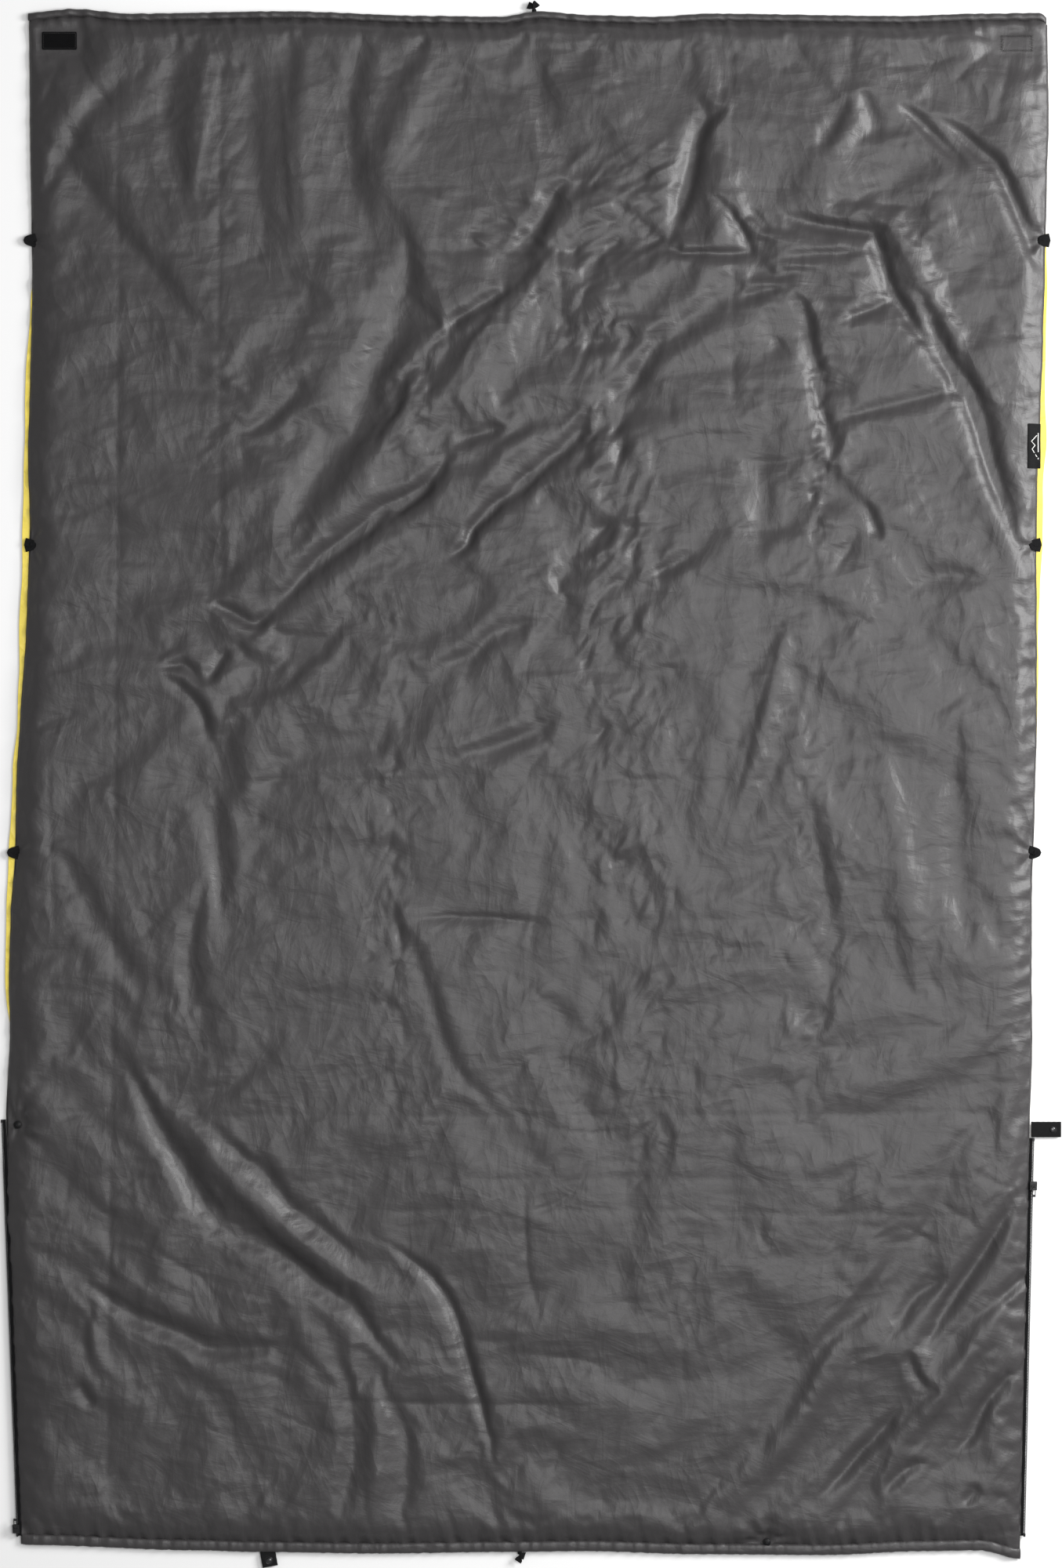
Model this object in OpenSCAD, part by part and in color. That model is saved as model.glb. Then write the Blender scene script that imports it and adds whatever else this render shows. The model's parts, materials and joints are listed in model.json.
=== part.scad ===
// Camp quilt laid flat: dark shell up, lining down, a half zip along each long edge at the
// foot, ribbon tie loops round the edge, two snap straps and a hook-and-loop corner closure.
// +Y points to the head edge, +X to the edge with the side strap, +Z is up.
// The origin is on the floor under the middle of the outline.

/* [Quilt] */
// Distance from the middle to the head edge
head_y = 998; // [900:1:1100]
// Distance from the middle to the foot edge
foot_y = 996; // [900:1:1100]
// Width at the head edge
head_w = 1312; // [1200:1:1400]
// Width where the zips begin
zip_top_w = 1328; // [1250:1:1400]
// Width at the foot edge
foot_w = 1294; // [1200:1:1400]
// Height of the padded body
loft = 17; // [14:0.5:22]
// Height of the flat seam allowance round the edge
rim_z = 6; // [5.5:0.1:7]
// Width of the flat seam allowance
rim_w = 22; // [20:1:30]
// Thickness of one layer of cloth with its allowance
cloth_t = 1.2; // [0.8:0.1:1.5]
// Furthest that the lining rolls out past the shell
lining_roll = 9; // [0:1:12]

/* [Hems] */
// Depth of the head hem
head_hem = 8; // [6:1:12]
// Depth of the foot hem, which is a channel
foot_hem = 14; // [12:1:18]
// Diameter of the elastic cord in the foot hem
elastic_d = 2.5; // [2:0.1:3]

/* [Ribbon loops] */
// Width of the ribbon
ribbon_w = 12; // [10:1:15]
// Thickness of the ribbon
ribbon_t = 0.8; // [0.6:0.1:0.9]
// How far a side loop reaches from the seam
loop_reach = 12; // [10:0.5:14]
// Height of a loop outside
loop_h = 6.2; // [6:0.1:8]
// Distance from the middle to the upper pair of side loops
upper_loop_y = 705; // [650:1:750]
// Distance from the middle to the middle pair of side loops
mid_loop_y = 310; // [250:1:350]
// Distance below the middle to the lower pair of side loops
lower_loop_y = 89; // [60:1:120]

/* [Zips] */
// Length of each half zip
zip_l = 541; // [450:1:545]
// Width of tape that shows outside the seam
tape_w = 4.2; // [3.5:0.1:6]
// Thickness of the tape
tape_t = 0.7; // [0.5:0.1:0.9]
// Diameter of the coil
coil_d = 2.4; // [2:0.1:2.6]
// Length of a slider
slider_l = 11; // [9:0.5:13]
// Length of a pull from its bar to its tip
pull_l = 14; // [10:0.5:18]
// How far the right slider stands below the top of its zip
right_slider_drop = 62; // [20:1:400]

/* [Straps and snaps] */
// Width of the strap webbing
web_w = 20; // [18:1:25]
// Thickness of the doubled webbing
web_t = 1.6; // [1.2:0.1:1.8]
// Length of the side strap
side_strap_l = 38; // [32:0.5:45]
// Length of the foot strap
foot_strap_l = 16; // [14:0.5:24]
// Angle that the foot strap is turned by
foot_strap_tilt = 10; // [0:1:15]
// Outer diameter of a snap
snap_d = 10.5; // [9:0.5:12]

/* [Patches and label] */
// Length of the hook patch
hook_l = 45; // [35:1:50]
// Width of the hook patch
hook_w = 23; // [20:1:25]
// Thickness of the hook patch
hook_t = 1.8; // [1.2:0.1:2]
// Length of the side label
label_l = 58; // [50:1:70]
// Width of the side label
label_w = 17; // [14:1:18]

/* [Hidden] */
$fn = 64;

LEFT = -1;
RIGHT = 1;
OUT = 1;
IN = -1;

// The quilt doesn't lie quite square: each station is [y, middle of the width, width].
zip_top_y = -435;
stations = [
    [head_y, 5, head_w],
    [480, 6.5, head_w + 3],
    [15, -7, head_w + 8],
    [zip_top_y, -17, zip_top_w],
    [-foot_y, -13, foot_w]
];
fold_gap = 0.4;   // between the two halves, which the fold line parts
batting_in = 2;   // the batting stops this far inside the padded step
corner_x = 66;    // the stitched-down head corners, from the edge
corner_y = 50;

// Where the lining shows past the shell: [y, share of lining_roll]
left_roll = [[640, 0], [440, 0.6], [200, 1], [-80, 0.7], [-330, 0]];
right_roll = [[750, 0], [500, 0.4], [280, 0.6], [100, 0.4], [-60, 0]];

// x of the edge of the quilt at a height y
function between(a, b, t) = a + (b - a) * t;
function seam_x(side, y, i = 0) =
    let (s = stations[i], n = stations[i + 1])
    y < n[0] && i < len(stations) - 2
        ? seam_x(side, y, i + 1)
        : let (t = (s[0] - y) / (s[0] - n[0]))
          between(s[1], n[1], t) + side * between(s[2], n[2], t) / 2;

// One half of the outline from y = bottom to y = top, moved in from the long edge
function half_outline(side, edge_in, bottom, top) =
    let (between_ys = [for (s = stations) if (s[0] < top && s[0] > bottom) s[0]],
         ys = concat([top], between_ys, [bottom]))
    concat([[side * fold_gap / 2, top]],
           [for (y = ys) [seam_x(side, y) - side * edge_in, y]],
           [[side * fold_gap / 2, bottom]]);

module half_slab(side, low, high, edge_in, bottom, top) {
    translate([0, 0, low])
        linear_extrude(high - low)
            polygon(half_outline(side, edge_in, bottom, top));
}

// The padded part, with the head corner left flat for the hook or loop patch
module padded_slab(side, high, more) {
    inset = rim_w + more;
    edge = seam_x(side, head_y);
    difference() {
        half_slab(side, cloth_t, high, inset, inset - foot_y, head_y - inset);
        translate([edge - corner_x - more, head_y - corner_y - more, 0])
            cube([2 * (corner_x + more), 2 * corner_y, 3 * loft]);
    }
}

// The lining's half outline: it follows the seam and rolls out past it where roll says
function lining_outline(side, roll, bottom, top) =
    let (ys = concat([top], [for (r = roll) r[0]], [zip_top_y, bottom]))
    concat([[side * fold_gap / 2, top]],
           [for (y = ys) [seam_x(side, y) + side * lining_roll * lookup(y, roll), y]],
           [[side * fold_gap / 2, bottom]]);

// ---- snaps ----
post_r = 1.5;
side_stud_at = [-666, -442];
foot_stud_at = [306, 13 - foot_y];
stud_back_r = 5;
strap_z = 4;

module stud_hole(at, r) {
    translate([at[0], at[1], -1])
        cylinder(h = 3 * loft, r = r);
}

module stud_recess(at) {
    translate([at[0], at[1], -1])
        cylinder(h = cloth_t + 1, r = stud_back_r);
}

// The knob that faces up out of the shell
module snap_stud(at) {
    rim_h = 0.9;
    knob_r = 2.1;
    translate([at[0], at[1], rim_z])
        difference() {
            union() {
                cylinder(h = rim_h, r = stud_back_r);
                cylinder(h = 2.2, r = knob_r);
            }
            translate([0, 0, -1])
                cylinder(h = 2.4, r = post_r);
        }
}

// The rivet that holds the stud from below
module snap_stud_back(at) {
    translate([at[0], at[1], 0]) {
        translate([0, 0, 0.2])
            cylinder(h = cloth_t - 0.2, r = stud_back_r);
        translate([0, 0, cloth_t])
            cylinder(h = rim_z - cloth_t + 1.2, r = post_r);
    }
}

// A shallow dome with its post, on a strap whose middle height is strap_z
module snap_cap() {
    dome_h = 2.3;
    edge_h = 0.9;
    ball_r = (pow(snap_d / 2, 2) + pow(dome_h - edge_h, 2)) / (2 * (dome_h - edge_h));
    translate([0, 0, web_t / 2]) {
        cylinder(h = edge_h, r = snap_d / 2);
        translate([0, 0, edge_h])
            intersection() {
                translate([0, 0, dome_h - edge_h - ball_r])
                    sphere(r = ball_r);
                cylinder(h = dome_h, r = snap_d / 2);
            }
    }
    translate([0, 0, -web_t / 2 - 1])
        cylinder(h = web_t + 1, r = post_r);
}

// The ring under the strap that a stud's knob clicks into
module snap_socket() {
    socket_h = 2;
    translate([0, 0, -web_t / 2 - socket_h])
        difference() {
            cylinder(h = socket_h, r = snap_d / 2 - 0.5);
            translate([0, 0, -1])
                cylinder(h = socket_h, r = 2.5);
            cylinder(h = socket_h + 1, r = post_r);
        }
}

// A strap that runs along +X from its fold, which is a round edge
module strap(length, snap_x) {
    difference() {
        union() {
            rotate([90, 0, 0])
                cylinder(h = web_w, r = web_t / 2, center = true);
            translate([0, -web_w / 2, -web_t / 2])
                cube([length, web_w, web_t]);
        }
        translate([snap_x, 0, -web_t])
            cylinder(h = 2 * web_t, r = post_r);
    }
}

side_strap_at = [649.7, -448, strap_z];
side_snap_x = side_strap_l - 11;
foot_strap_at = [-341, -foot_y - 3, strap_z];
foot_snap_x = foot_strap_l - 8;

module at_side_strap() {
    translate(side_strap_at)
        children();
}

module at_foot_strap() {
    translate(foot_strap_at)
        rotate([0, 0, -90 + foot_strap_tilt])
            children();
}

// ---- ribbon loops ----
// A ribbon loop that stands out along +X from the seam, open along Y
module ribbon_loop(reach, width) {
    r = loop_h / 2;
    translate([0, width / 2, 0])
        rotate([90, 0, 0])
            linear_extrude(width)
                difference() {
                    union() {
                        square([reach - r, loop_h]);
                        translate([reach - r, r])
                            circle(r);
                    }
                    translate([ribbon_t, ribbon_t])
                        square([reach - r - ribbon_t, loop_h - 2 * ribbon_t]);
                    translate([reach - r, r])
                        circle(r - ribbon_t);
                }
}

// A side loop: OUT stands out over the lining's edge, just clear of the sloping seam, and IN
// lies folded back on the rim
module side_loop(side, y, way) {
    clear = way == OUT ? 0.4 : 0;
    translate([seam_x(side, y) + side * clear, y, way == OUT ? cloth_t + 0.1 : rim_z])
        rotate([0, 0, side * way > 0 ? 0 : 180])
            ribbon_loop(loop_reach, ribbon_w);
}

// ---- zips ----
// Each zip runs straight down from where its edge turns in. In its own frame the seam is
// at x = 0, the coil is out along +X and the zip runs along -Y.
tape_z = 4.4;
coil_x = tape_w + coil_d / 2;
stop_l = 4;
zip_gap = 0.3;
right_zip_drop = 24;

function zip_start(side) = side == LEFT ? 0 : right_zip_drop;
function zip_length(side) = zip_l - zip_start(side);
function zip_angle(side) =
    atan2(seam_x(side, -foot_y) - seam_x(side, zip_top_y), foot_y + zip_top_y);

module at_zip(side) {
    translate([seam_x(side, zip_top_y), zip_top_y, 0])
        rotate([0, 0, zip_angle(side)])
            mirror([side == LEFT ? 1 : 0, 0, 0])
                translate([0, -zip_start(side), 0])
                    children();
}

module zip_tape(side) {
    at_zip(side)
        translate([zip_gap, -zip_length(side), tape_z - tape_t / 2])
            cube([tape_w - zip_gap, zip_length(side), tape_t]);
}

module zip_coil(side) {
    at_zip(side)
        translate([coil_x, -stop_l, tape_z])
            rotate([90, 0, 0])
                cylinder(h = zip_length(side) - 2 * stop_l, d = coil_d);
}

module zip_stops(side) {
    stop_w = 2.6;
    at_zip(side)
        for (y = [-stop_l, -zip_length(side)])
            translate([coil_x - coil_d / 2, y, tape_z - stop_w / 2])
                cube([stop_w, stop_l, stop_w]);
}

// Slider sections: [x from, x to, z from, z to] round the coil and the free channel
plate_in = 2.4;
plate_out = 11.2;
plate_t = 1;
channel_h = 3.2;
bar_z = 9.2;
bar_x = 7;
bar_r = 0.7;
ear_t = 1;
pull_ring_w = 2.6;

function slider_y(side) =
    side == LEFT ? -(zip_length(side) - stop_l - slider_l / 2 - 0.5)
                 : -right_slider_drop;

module at_slider(side) {
    at_zip(side)
        translate([0, slider_y(side), 0])
            children();
}

module slider_block(x0, x1, z0, z1, length) {
    translate([x0, -length / 2, z0])
        cube([x1 - x0, length, z1 - z0]);
}

module zip_slider(side) {
    low = tape_z - channel_h / 2;
    high = tape_z + channel_h / 2;
    lip = 0.8;
    ear_in = pull_ring_w / 2 + 0.3;
    at_slider(side) {
        slider_block(plate_in, plate_out, low - plate_t, low, slider_l);
        slider_block(plate_in, plate_out, high, high + plate_t, slider_l);
        for (x = [plate_in, plate_out - lip]) {
            slider_block(x, x + lip, low, low + lip, slider_l);
            slider_block(x, x + lip, high - lip, high, slider_l);
        }
        slider_block(coil_x + coil_d / 2 + 0.35, coil_x + coil_d / 2 + 1.4, low, high, 5);
        for (way = [-1, 1])
            translate([bar_x + way * (ear_in + ear_t / 2), 0, high + plate_t])
                translate([-ear_t / 2, -1.6, 0])
                    cube([ear_t, 3.2, bar_z + 1.4 - high - plate_t]);
        translate([bar_x, 0, bar_z])
            rotate([0, 90, 0])
                cylinder(h = 2 * ear_in, r = bar_r, center = true);
    }
}

// A stamped pull with a square window, lying from its bar towards its tip
module zip_pull(side) {
    ring_r = 1.7;
    plate_w = 4.6;
    pull_t = 1;
    way = side == LEFT ? 1 : -1;
    at_slider(side)
        translate([bar_x, 0, bar_z])
            mirror([0, way > 0 ? 0 : 1, 0])
                difference() {
                    union() {
                        rotate([0, 90, 0])
                            cylinder(h = pull_ring_w, r = ring_r, center = true);
                        translate([-pull_ring_w / 2, 0, -pull_t / 2])
                            cube([pull_ring_w, 4, pull_t]);
                        translate([-plate_w / 2, 3, -pull_t / 2])
                            cube([plate_w, pull_l - 3, pull_t]);
                    }
                    rotate([0, 90, 0])
                        cylinder(h = 2 * pull_ring_w, r = bar_r + 0.3, center = true);
                    translate([-1.3, 5, -pull_t])
                        cube([2.6, 6, 2 * pull_t]);
                }
}

// ---- cloth ----
module loop_patch_box(over) {
    translate([609, 949, -over])
        cube([42, 22, cloth_t + 2 * over]);
}

module lining(side, roll) {
    color("#e3cb4e")
        difference() {
            linear_extrude(cloth_t)
                polygon(lining_outline(side, roll, foot_hem - foot_y, head_y - head_hem));
            if (side == LEFT)
                stud_recess(side_stud_at);
            if (side == RIGHT)
                stud_recess(foot_stud_at);
            if (side == RIGHT)
                loop_patch_box(1);
        }
}

module batting(side) {
    color("#f2f2ee")
        padded_slab(side, loft - cloth_t, batting_in);
}

module shell(side) {
    color("#54504f")
        difference() {
            union() {
                half_slab(side, cloth_t, rim_z, 0, foot_hem - foot_y, head_y - head_hem);
                padded_slab(side, loft, 0);
            }
            padded_slab(side, loft - cloth_t, batting_in);
            stud_hole(side_stud_at, post_r);
            stud_hole(foot_stud_at, post_r);
        }
}

module head_hem_strip(side) {
    color("#4b4847")
        half_slab(side, 0, rim_z - 0.4, 0, head_y - head_hem, head_y);
}

foot_channel_y = -foot_y + foot_hem / 2 - 1.2;

module foot_hem_strip(side) {
    channel_d = elastic_d + 1;
    color("#4b4847")
        difference() {
            half_slab(side, 0, rim_z, 0, -foot_y, foot_hem - foot_y);
            translate([-head_w, foot_channel_y, rim_z / 2])
                rotate([0, 90, 0])
                    cylinder(h = 2 * head_w, d = channel_d);
            stud_hole(side_stud_at, post_r);
            stud_hole(foot_stud_at, post_r);
            stud_recess(foot_stud_at);
        }
}

module foot_elastic(side) {
    end_in = 12;
    length = abs(seam_x(side, -foot_y)) - end_in - fold_gap / 2;
    color("#f5f5f2")
        translate([side * (fold_gap + length) / 2, foot_channel_y, rim_z / 2])
            rotate([0, 90, 0])
                cylinder(h = length, d = elastic_d, center = true);
}

module lining_left() lining(LEFT, left_roll);
module lining_right() lining(RIGHT, right_roll);
module batting_left() batting(LEFT);
module batting_right() batting(RIGHT);
module shell_left() shell(LEFT);
module shell_right() shell(RIGHT);
module head_hem_left() head_hem_strip(LEFT);
module head_hem_right() head_hem_strip(RIGHT);
module foot_hem_left() foot_hem_strip(LEFT);
module foot_hem_right() foot_hem_strip(RIGHT);
module foot_elastic_left() foot_elastic(LEFT);
module foot_elastic_right() foot_elastic(RIGHT);

module upper_loop_left() { color("#151515") side_loop(LEFT, upper_loop_y, OUT); }
module mid_loop_left() { color("#151515") side_loop(LEFT, mid_loop_y, IN); }
module lower_loop_left() { color("#151515") side_loop(LEFT, -lower_loop_y, OUT); }
module upper_loop_right() { color("#151515") side_loop(RIGHT, upper_loop_y, IN); }
module mid_loop_right() { color("#151515") side_loop(RIGHT, mid_loop_y, IN); }
module lower_loop_right() { color("#151515") side_loop(RIGHT, -lower_loop_y, OUT); }

module head_centre_loop() {
    color("#151515")
        translate([2.5, head_y, 0.1])
            rotate([0, 0, 90])
                ribbon_loop(18, 14);
}

module foot_centre_loop() {
    color("#151515")
        translate([-15, -foot_y, 0.1])
            rotate([0, 0, -90])
                ribbon_loop(16, 14);
}

module hook_patch() {
    color("#0c0c0c")
        translate([-634, 952, rim_z])
            cube([hook_l, hook_w, hook_t]);
}

module loop_patch() {
    color("#111111")
        loop_patch_box(0);
}

module side_label() {
    color("#101010")
        translate([644, 438 - label_l / 2, rim_z])
            cube([label_w, label_l, 0.7]);
}

module zip_tape_left() { color("#141414") zip_tape(LEFT); }
module zip_tape_right() { color("#141414") zip_tape(RIGHT); }
module zip_coil_left() { color("#0f0f0f") zip_coil(LEFT); }
module zip_coil_right() { color("#0f0f0f") zip_coil(RIGHT); }
module zip_stops_left() { color("#222222") zip_stops(LEFT); }
module zip_stops_right() { color("#222222") zip_stops(RIGHT); }
module zip_slider_left() { color("#1c1c1c") zip_slider(LEFT); }
module zip_slider_right() { color("#1c1c1c") zip_slider(RIGHT); }
module zip_pull_left() { color("#262626") zip_pull(LEFT); }
module zip_pull_right() { color("#262626") zip_pull(RIGHT); }

module side_strap() {
    color("#161616")
        at_side_strap()
            strap(side_strap_l, side_snap_x);
}

module side_snap_cap() {
    color("#0a0a0a")
        at_side_strap()
            translate([side_snap_x, 0, 0])
                snap_cap();
}

module side_snap_socket() {
    color("#0a0a0a")
        at_side_strap()
            translate([side_snap_x, 0, 0])
                snap_socket();
}

module side_snap_stud() { color("#0a0a0a") snap_stud(side_stud_at); }
module side_snap_stud_back() { color("#0a0a0a") snap_stud_back(side_stud_at); }

module foot_strap() {
    color("#161616")
        at_foot_strap()
            strap(foot_strap_l, foot_snap_x);
}

module foot_snap_cap() {
    color("#0a0a0a")
        at_foot_strap()
            translate([foot_snap_x, 0, 0])
                snap_cap();
}

module foot_snap_socket() {
    color("#0a0a0a")
        at_foot_strap()
            translate([foot_snap_x, 0, 0])
                snap_socket();
}

module foot_snap_stud() { color("#0a0a0a") snap_stud(foot_stud_at); }
module foot_snap_stud_back() { color("#0a0a0a") snap_stud_back(foot_stud_at); }

lining_left();
batting_left();
shell_left();
head_hem_left();
foot_hem_left();
foot_elastic_left();
lining_right();
batting_right();
shell_right();
head_hem_right();
foot_hem_right();
foot_elastic_right();
upper_loop_left();
mid_loop_left();
lower_loop_left();
foot_centre_loop();
upper_loop_right();
mid_loop_right();
lower_loop_right();
head_centre_loop();
hook_patch();
loop_patch();
side_label();
zip_tape_left();
zip_coil_left();
zip_stops_left();
zip_slider_left();
zip_pull_left();
zip_tape_right();
zip_coil_right();
zip_stops_right();
zip_slider_right();
zip_pull_right();
side_strap();
side_snap_cap();
side_snap_socket();
side_snap_stud();
side_snap_stud_back();
foot_strap();
foot_snap_cap();
foot_snap_socket();
foot_snap_stud();
foot_snap_stud_back();
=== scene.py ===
# %% [markdown]
# # A camp quilt, laid out flat
#
# The quilt is a thin bag of two cloths with a soft filling between them. The dark shell faces
# up and the yellow lining faces down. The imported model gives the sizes, the bodies that move
# and the hard parts. This lesson makes the cloth around it: first a height map of the folds,
# then the two cloths and the filling, then hems, zips, ribbon, webbing and patches, and last
# the finishes, the light and the camera.

# %% Load the frame and keep its box
import json
import math

import bpy
import numpy as np
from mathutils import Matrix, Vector

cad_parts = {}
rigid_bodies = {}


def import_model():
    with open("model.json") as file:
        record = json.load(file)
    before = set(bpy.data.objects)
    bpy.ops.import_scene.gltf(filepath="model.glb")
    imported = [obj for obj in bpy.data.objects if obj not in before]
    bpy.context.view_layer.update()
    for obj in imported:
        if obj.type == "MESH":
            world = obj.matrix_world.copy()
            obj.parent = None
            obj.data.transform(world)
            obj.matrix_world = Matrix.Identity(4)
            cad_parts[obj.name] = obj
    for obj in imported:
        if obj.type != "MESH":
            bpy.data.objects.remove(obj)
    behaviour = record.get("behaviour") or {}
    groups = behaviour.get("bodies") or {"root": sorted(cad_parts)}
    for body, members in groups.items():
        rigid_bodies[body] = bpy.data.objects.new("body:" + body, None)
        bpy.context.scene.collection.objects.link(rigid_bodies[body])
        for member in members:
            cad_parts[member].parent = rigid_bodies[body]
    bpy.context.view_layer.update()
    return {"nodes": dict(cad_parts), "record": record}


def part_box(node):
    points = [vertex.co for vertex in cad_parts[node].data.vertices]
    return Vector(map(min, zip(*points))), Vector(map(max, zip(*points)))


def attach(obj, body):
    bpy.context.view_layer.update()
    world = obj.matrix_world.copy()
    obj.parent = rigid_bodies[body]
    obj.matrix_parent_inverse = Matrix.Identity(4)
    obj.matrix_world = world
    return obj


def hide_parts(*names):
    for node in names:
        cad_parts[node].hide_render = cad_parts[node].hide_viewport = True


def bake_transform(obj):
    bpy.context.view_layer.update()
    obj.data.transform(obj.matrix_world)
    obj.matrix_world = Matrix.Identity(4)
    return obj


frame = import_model()
scene = bpy.context.scene
MM = 0.001


def body_of(node):
    """The name of the body that a CAD node moves with."""
    return frame["nodes"][node].parent.name.split(":")[-1]


# %% [markdown]
# ## The camera and the light
#
# A flat quilt is shown from straight above, so the camera looks down the Z axis with a long
# lens, which keeps the edges straight. One could light it with a sky picture, but cloth is
# read from the light on its folds: a large soft lamp low on the right picks them out, a
# wide lamp overhead gives the satin its even glow, and a pale sky fills the rest.

# %% Camera straight above the middle of the frame
LOOK_WIDTH = 2.035
LENS = 100.0
camera_data = bpy.data.cameras.new("overhead")
camera_data.lens = LENS
camera_data.sensor_width = 36.0
camera = bpy.data.objects.new("overhead", camera_data)
scene.collection.objects.link(camera)
camera.location = (0.0, 0.0, LOOK_WIDTH * LENS / 36.0)
camera.rotation_euler = (0.0, 0.0, 0.0)
scene.camera = camera
scene.view_settings.view_transform = "Standard"


# %% Soft lamps and a pale sky
def soft_lamp(name, place, size, watts, warmth=(1.0, 1.0, 1.0)):
    data = bpy.data.lights.new(name, "AREA")
    data.shape = "RECTANGLE"
    data.size, data.size_y = size
    data.energy = watts
    data.color = warmth
    lamp = bpy.data.objects.new(name, data)
    scene.collection.objects.link(lamp)
    lamp.location = place
    lamp.rotation_euler = (-Vector(place)).to_track_quat("-Z", "Y").to_euler()
    lamp.visible_camera = False
    return lamp


soft_lamp("lamp_right", (2.7, 0.9, 1.8), (1.4, 1.4), 135)
soft_lamp("lamp_overhead", (0.8, 0.0, 3.6), (2.0, 2.0), 62)
sky = bpy.data.worlds.new("pale_sky")
scene.world = sky
sky.use_nodes = True
sky.node_tree.nodes["Background"].inputs["Color"].default_value = (1.0, 1.0, 1.0, 1.0)
sky.node_tree.nodes["Background"].inputs["Strength"].default_value = 0.36

# %% [markdown]
# ## A height map for the cloth
#
# Thin taffeta over a soft filling shows three kinds of relief: long rounded folds, short
# crisp creases, and the straight packing creases of a quilt that was kept folded. Each could
# be sculpted by hand. A height map built from strokes does the same in code: every fold is a
# line on the cloth with a height and a width, so it can be moved or softened on its own.

# %% An empty map over the quilt, in metres
MAP_STEP = 0.0025
corners = np.array([[tuple(corner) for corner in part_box(node)] for node in frame["nodes"]])
low, high = corners[:, 0].min(axis=0), corners[:, 1].max(axis=0)
map_x = np.arange(low[0] - 0.03, high[0] + 0.03, MAP_STEP)
map_y = np.arange(low[1] - 0.03, high[1] + 0.03, MAP_STEP)
relief = np.zeros((len(map_y), len(map_x)))
print("height map:", relief.shape)


def smooth_step(t):
    t = np.clip(t, 0.0, 1.0)
    return t * t * (3.0 - 2.0 * t)


def smooth_line(points, step):
    """A curve through the points, as places about one step apart."""
    p = np.array(points, float)
    if len(p) == 2:
        n = max(2, int(np.linalg.norm(p[1] - p[0]) / step) + 1)
        return p[0] + (p[1] - p[0]) * np.linspace(0, 1, n)[:, None]
    ends = np.vstack([2 * p[0] - p[1], p, 2 * p[-1] - p[-2]])
    out = []
    for a, b, c, d in zip(ends, ends[1:], ends[2:], ends[3:]):
        n = max(1, int(np.linalg.norm(c - b) / step))
        t = (np.arange(n) / n)[:, None]
        out.append(0.5 * (2 * b + (c - a) * t + (2 * a - 5 * b + 4 * c - d) * t**2
                          + (3 * b - a - 3 * c + d) * t**3))
    return np.vstack(out + [p[-1:]])


def window(low, high, reach):
    """The slice of the map that lies within reach of a box."""
    x0, x1 = np.searchsorted(map_x, (low[0] - reach, high[0] + reach))
    y0, y1 = np.searchsorted(map_y, (low[1] - reach, high[1] + reach))
    return slice(y0, y1), slice(x0, x1)


def stroke(points, height, left, right, taper=0.3, crisp=False):
    """Presses one fold into the map. left and right are how far it reaches to each side of
    the line; a crisp one has a sharp crest. It fades and narrows to a point over the taper
    share at each end."""
    line = smooth_line(points, 0.012)
    reach = 2.6 * max(left, right)
    rows, cols = window(line.min(axis=0), line.max(axis=0), reach)
    gx, gy = np.meshgrid(map_x[cols], map_y[rows])
    best = np.full(gx.shape, 9.0)
    side = np.zeros(gx.shape)
    along = np.zeros(gx.shape)
    count = len(line) - 1
    for i, (a, b) in enumerate(zip(line, line[1:])):
        d = b - a
        length = np.hypot(*d)
        near_x = np.abs(gx - (a[0] + b[0]) / 2) < length / 2 + reach
        near = near_x & (np.abs(gy - (a[1] + b[1]) / 2) < length / 2 + reach)
        off_x, off_y = gx[near] - a[0], gy[near] - a[1]
        t = np.clip((off_x * d[0] + off_y * d[1]) / length**2, 0, 1)
        off = np.hypot(off_x - t * d[0], off_y - t * d[1])
        better = off < best[near]
        best[near] = np.where(better, off, best[near])
        cross = d[0] * off_y - d[1] * off_x
        side[near] = np.where(better, np.sign(cross), side[near])
        along[near] = np.where(better, (i + t) / count, along[near])
    fade = smooth_step(along / taper) * smooth_step((1 - along) / taper)
    width = np.where(side > 0, left, right) * (0.4 + 0.6 * fade)
    shape = np.exp(-best / width) if crisp else np.exp(-((best / width) ** 2))
    relief[rows, cols] += height * shape * fade


def crumple(size, amount, seed, stretch=1.0, turn=0.0):
    """Facets like those of crushed cloth: the distance to the nearest of many scattered
    points, in cells of the given size, stretched along the direction turn."""
    random = np.random.default_rng(seed)
    gx, gy = np.meshgrid(map_x, map_y)
    c, s = math.cos(turn), math.sin(turn)
    u = (gx * c + gy * s) / (size * stretch)
    v = (-gx * s + gy * c) / size
    wave = 0.35
    u, v = u + wave * np.sin(2.1 * v + seed), v + wave * np.sin(1.7 * u + 2 * seed)
    iu, iv = np.floor(u).astype(int), np.floor(v).astype(int)
    iu0, iv0 = iu.min() - 1, iv.min() - 1
    spots = random.random((iu.max() - iu0 + 3, iv.max() - iv0 + 3, 3))
    nearest = np.full(u.shape, 9.0)
    second = np.full(u.shape, 9.0)
    tilt = np.zeros(u.shape)
    for du in (-1, 0, 1):
        for dv in (-1, 0, 1):
            spot = spots[iu + du - iu0, iv + dv - iv0]
            x, y = u - iu - du - spot[..., 0], v - iv - dv - spot[..., 1]
            d = np.hypot(x, y)
            angle = 2 * math.pi * spot[..., 2]
            lean = x * np.cos(angle) + y * np.sin(angle)
            closer = d < nearest
            second = np.where(closer, nearest, np.minimum(second, d))
            nearest = np.where(closer, d, nearest)
            tilt = np.where(closer, lean, tilt)
    edge = np.clip((second - nearest) / 0.5, 0, 1)
    return amount * (0.7 * (nearest - 0.45) + 0.9 * tilt * smooth_step(edge))


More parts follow.
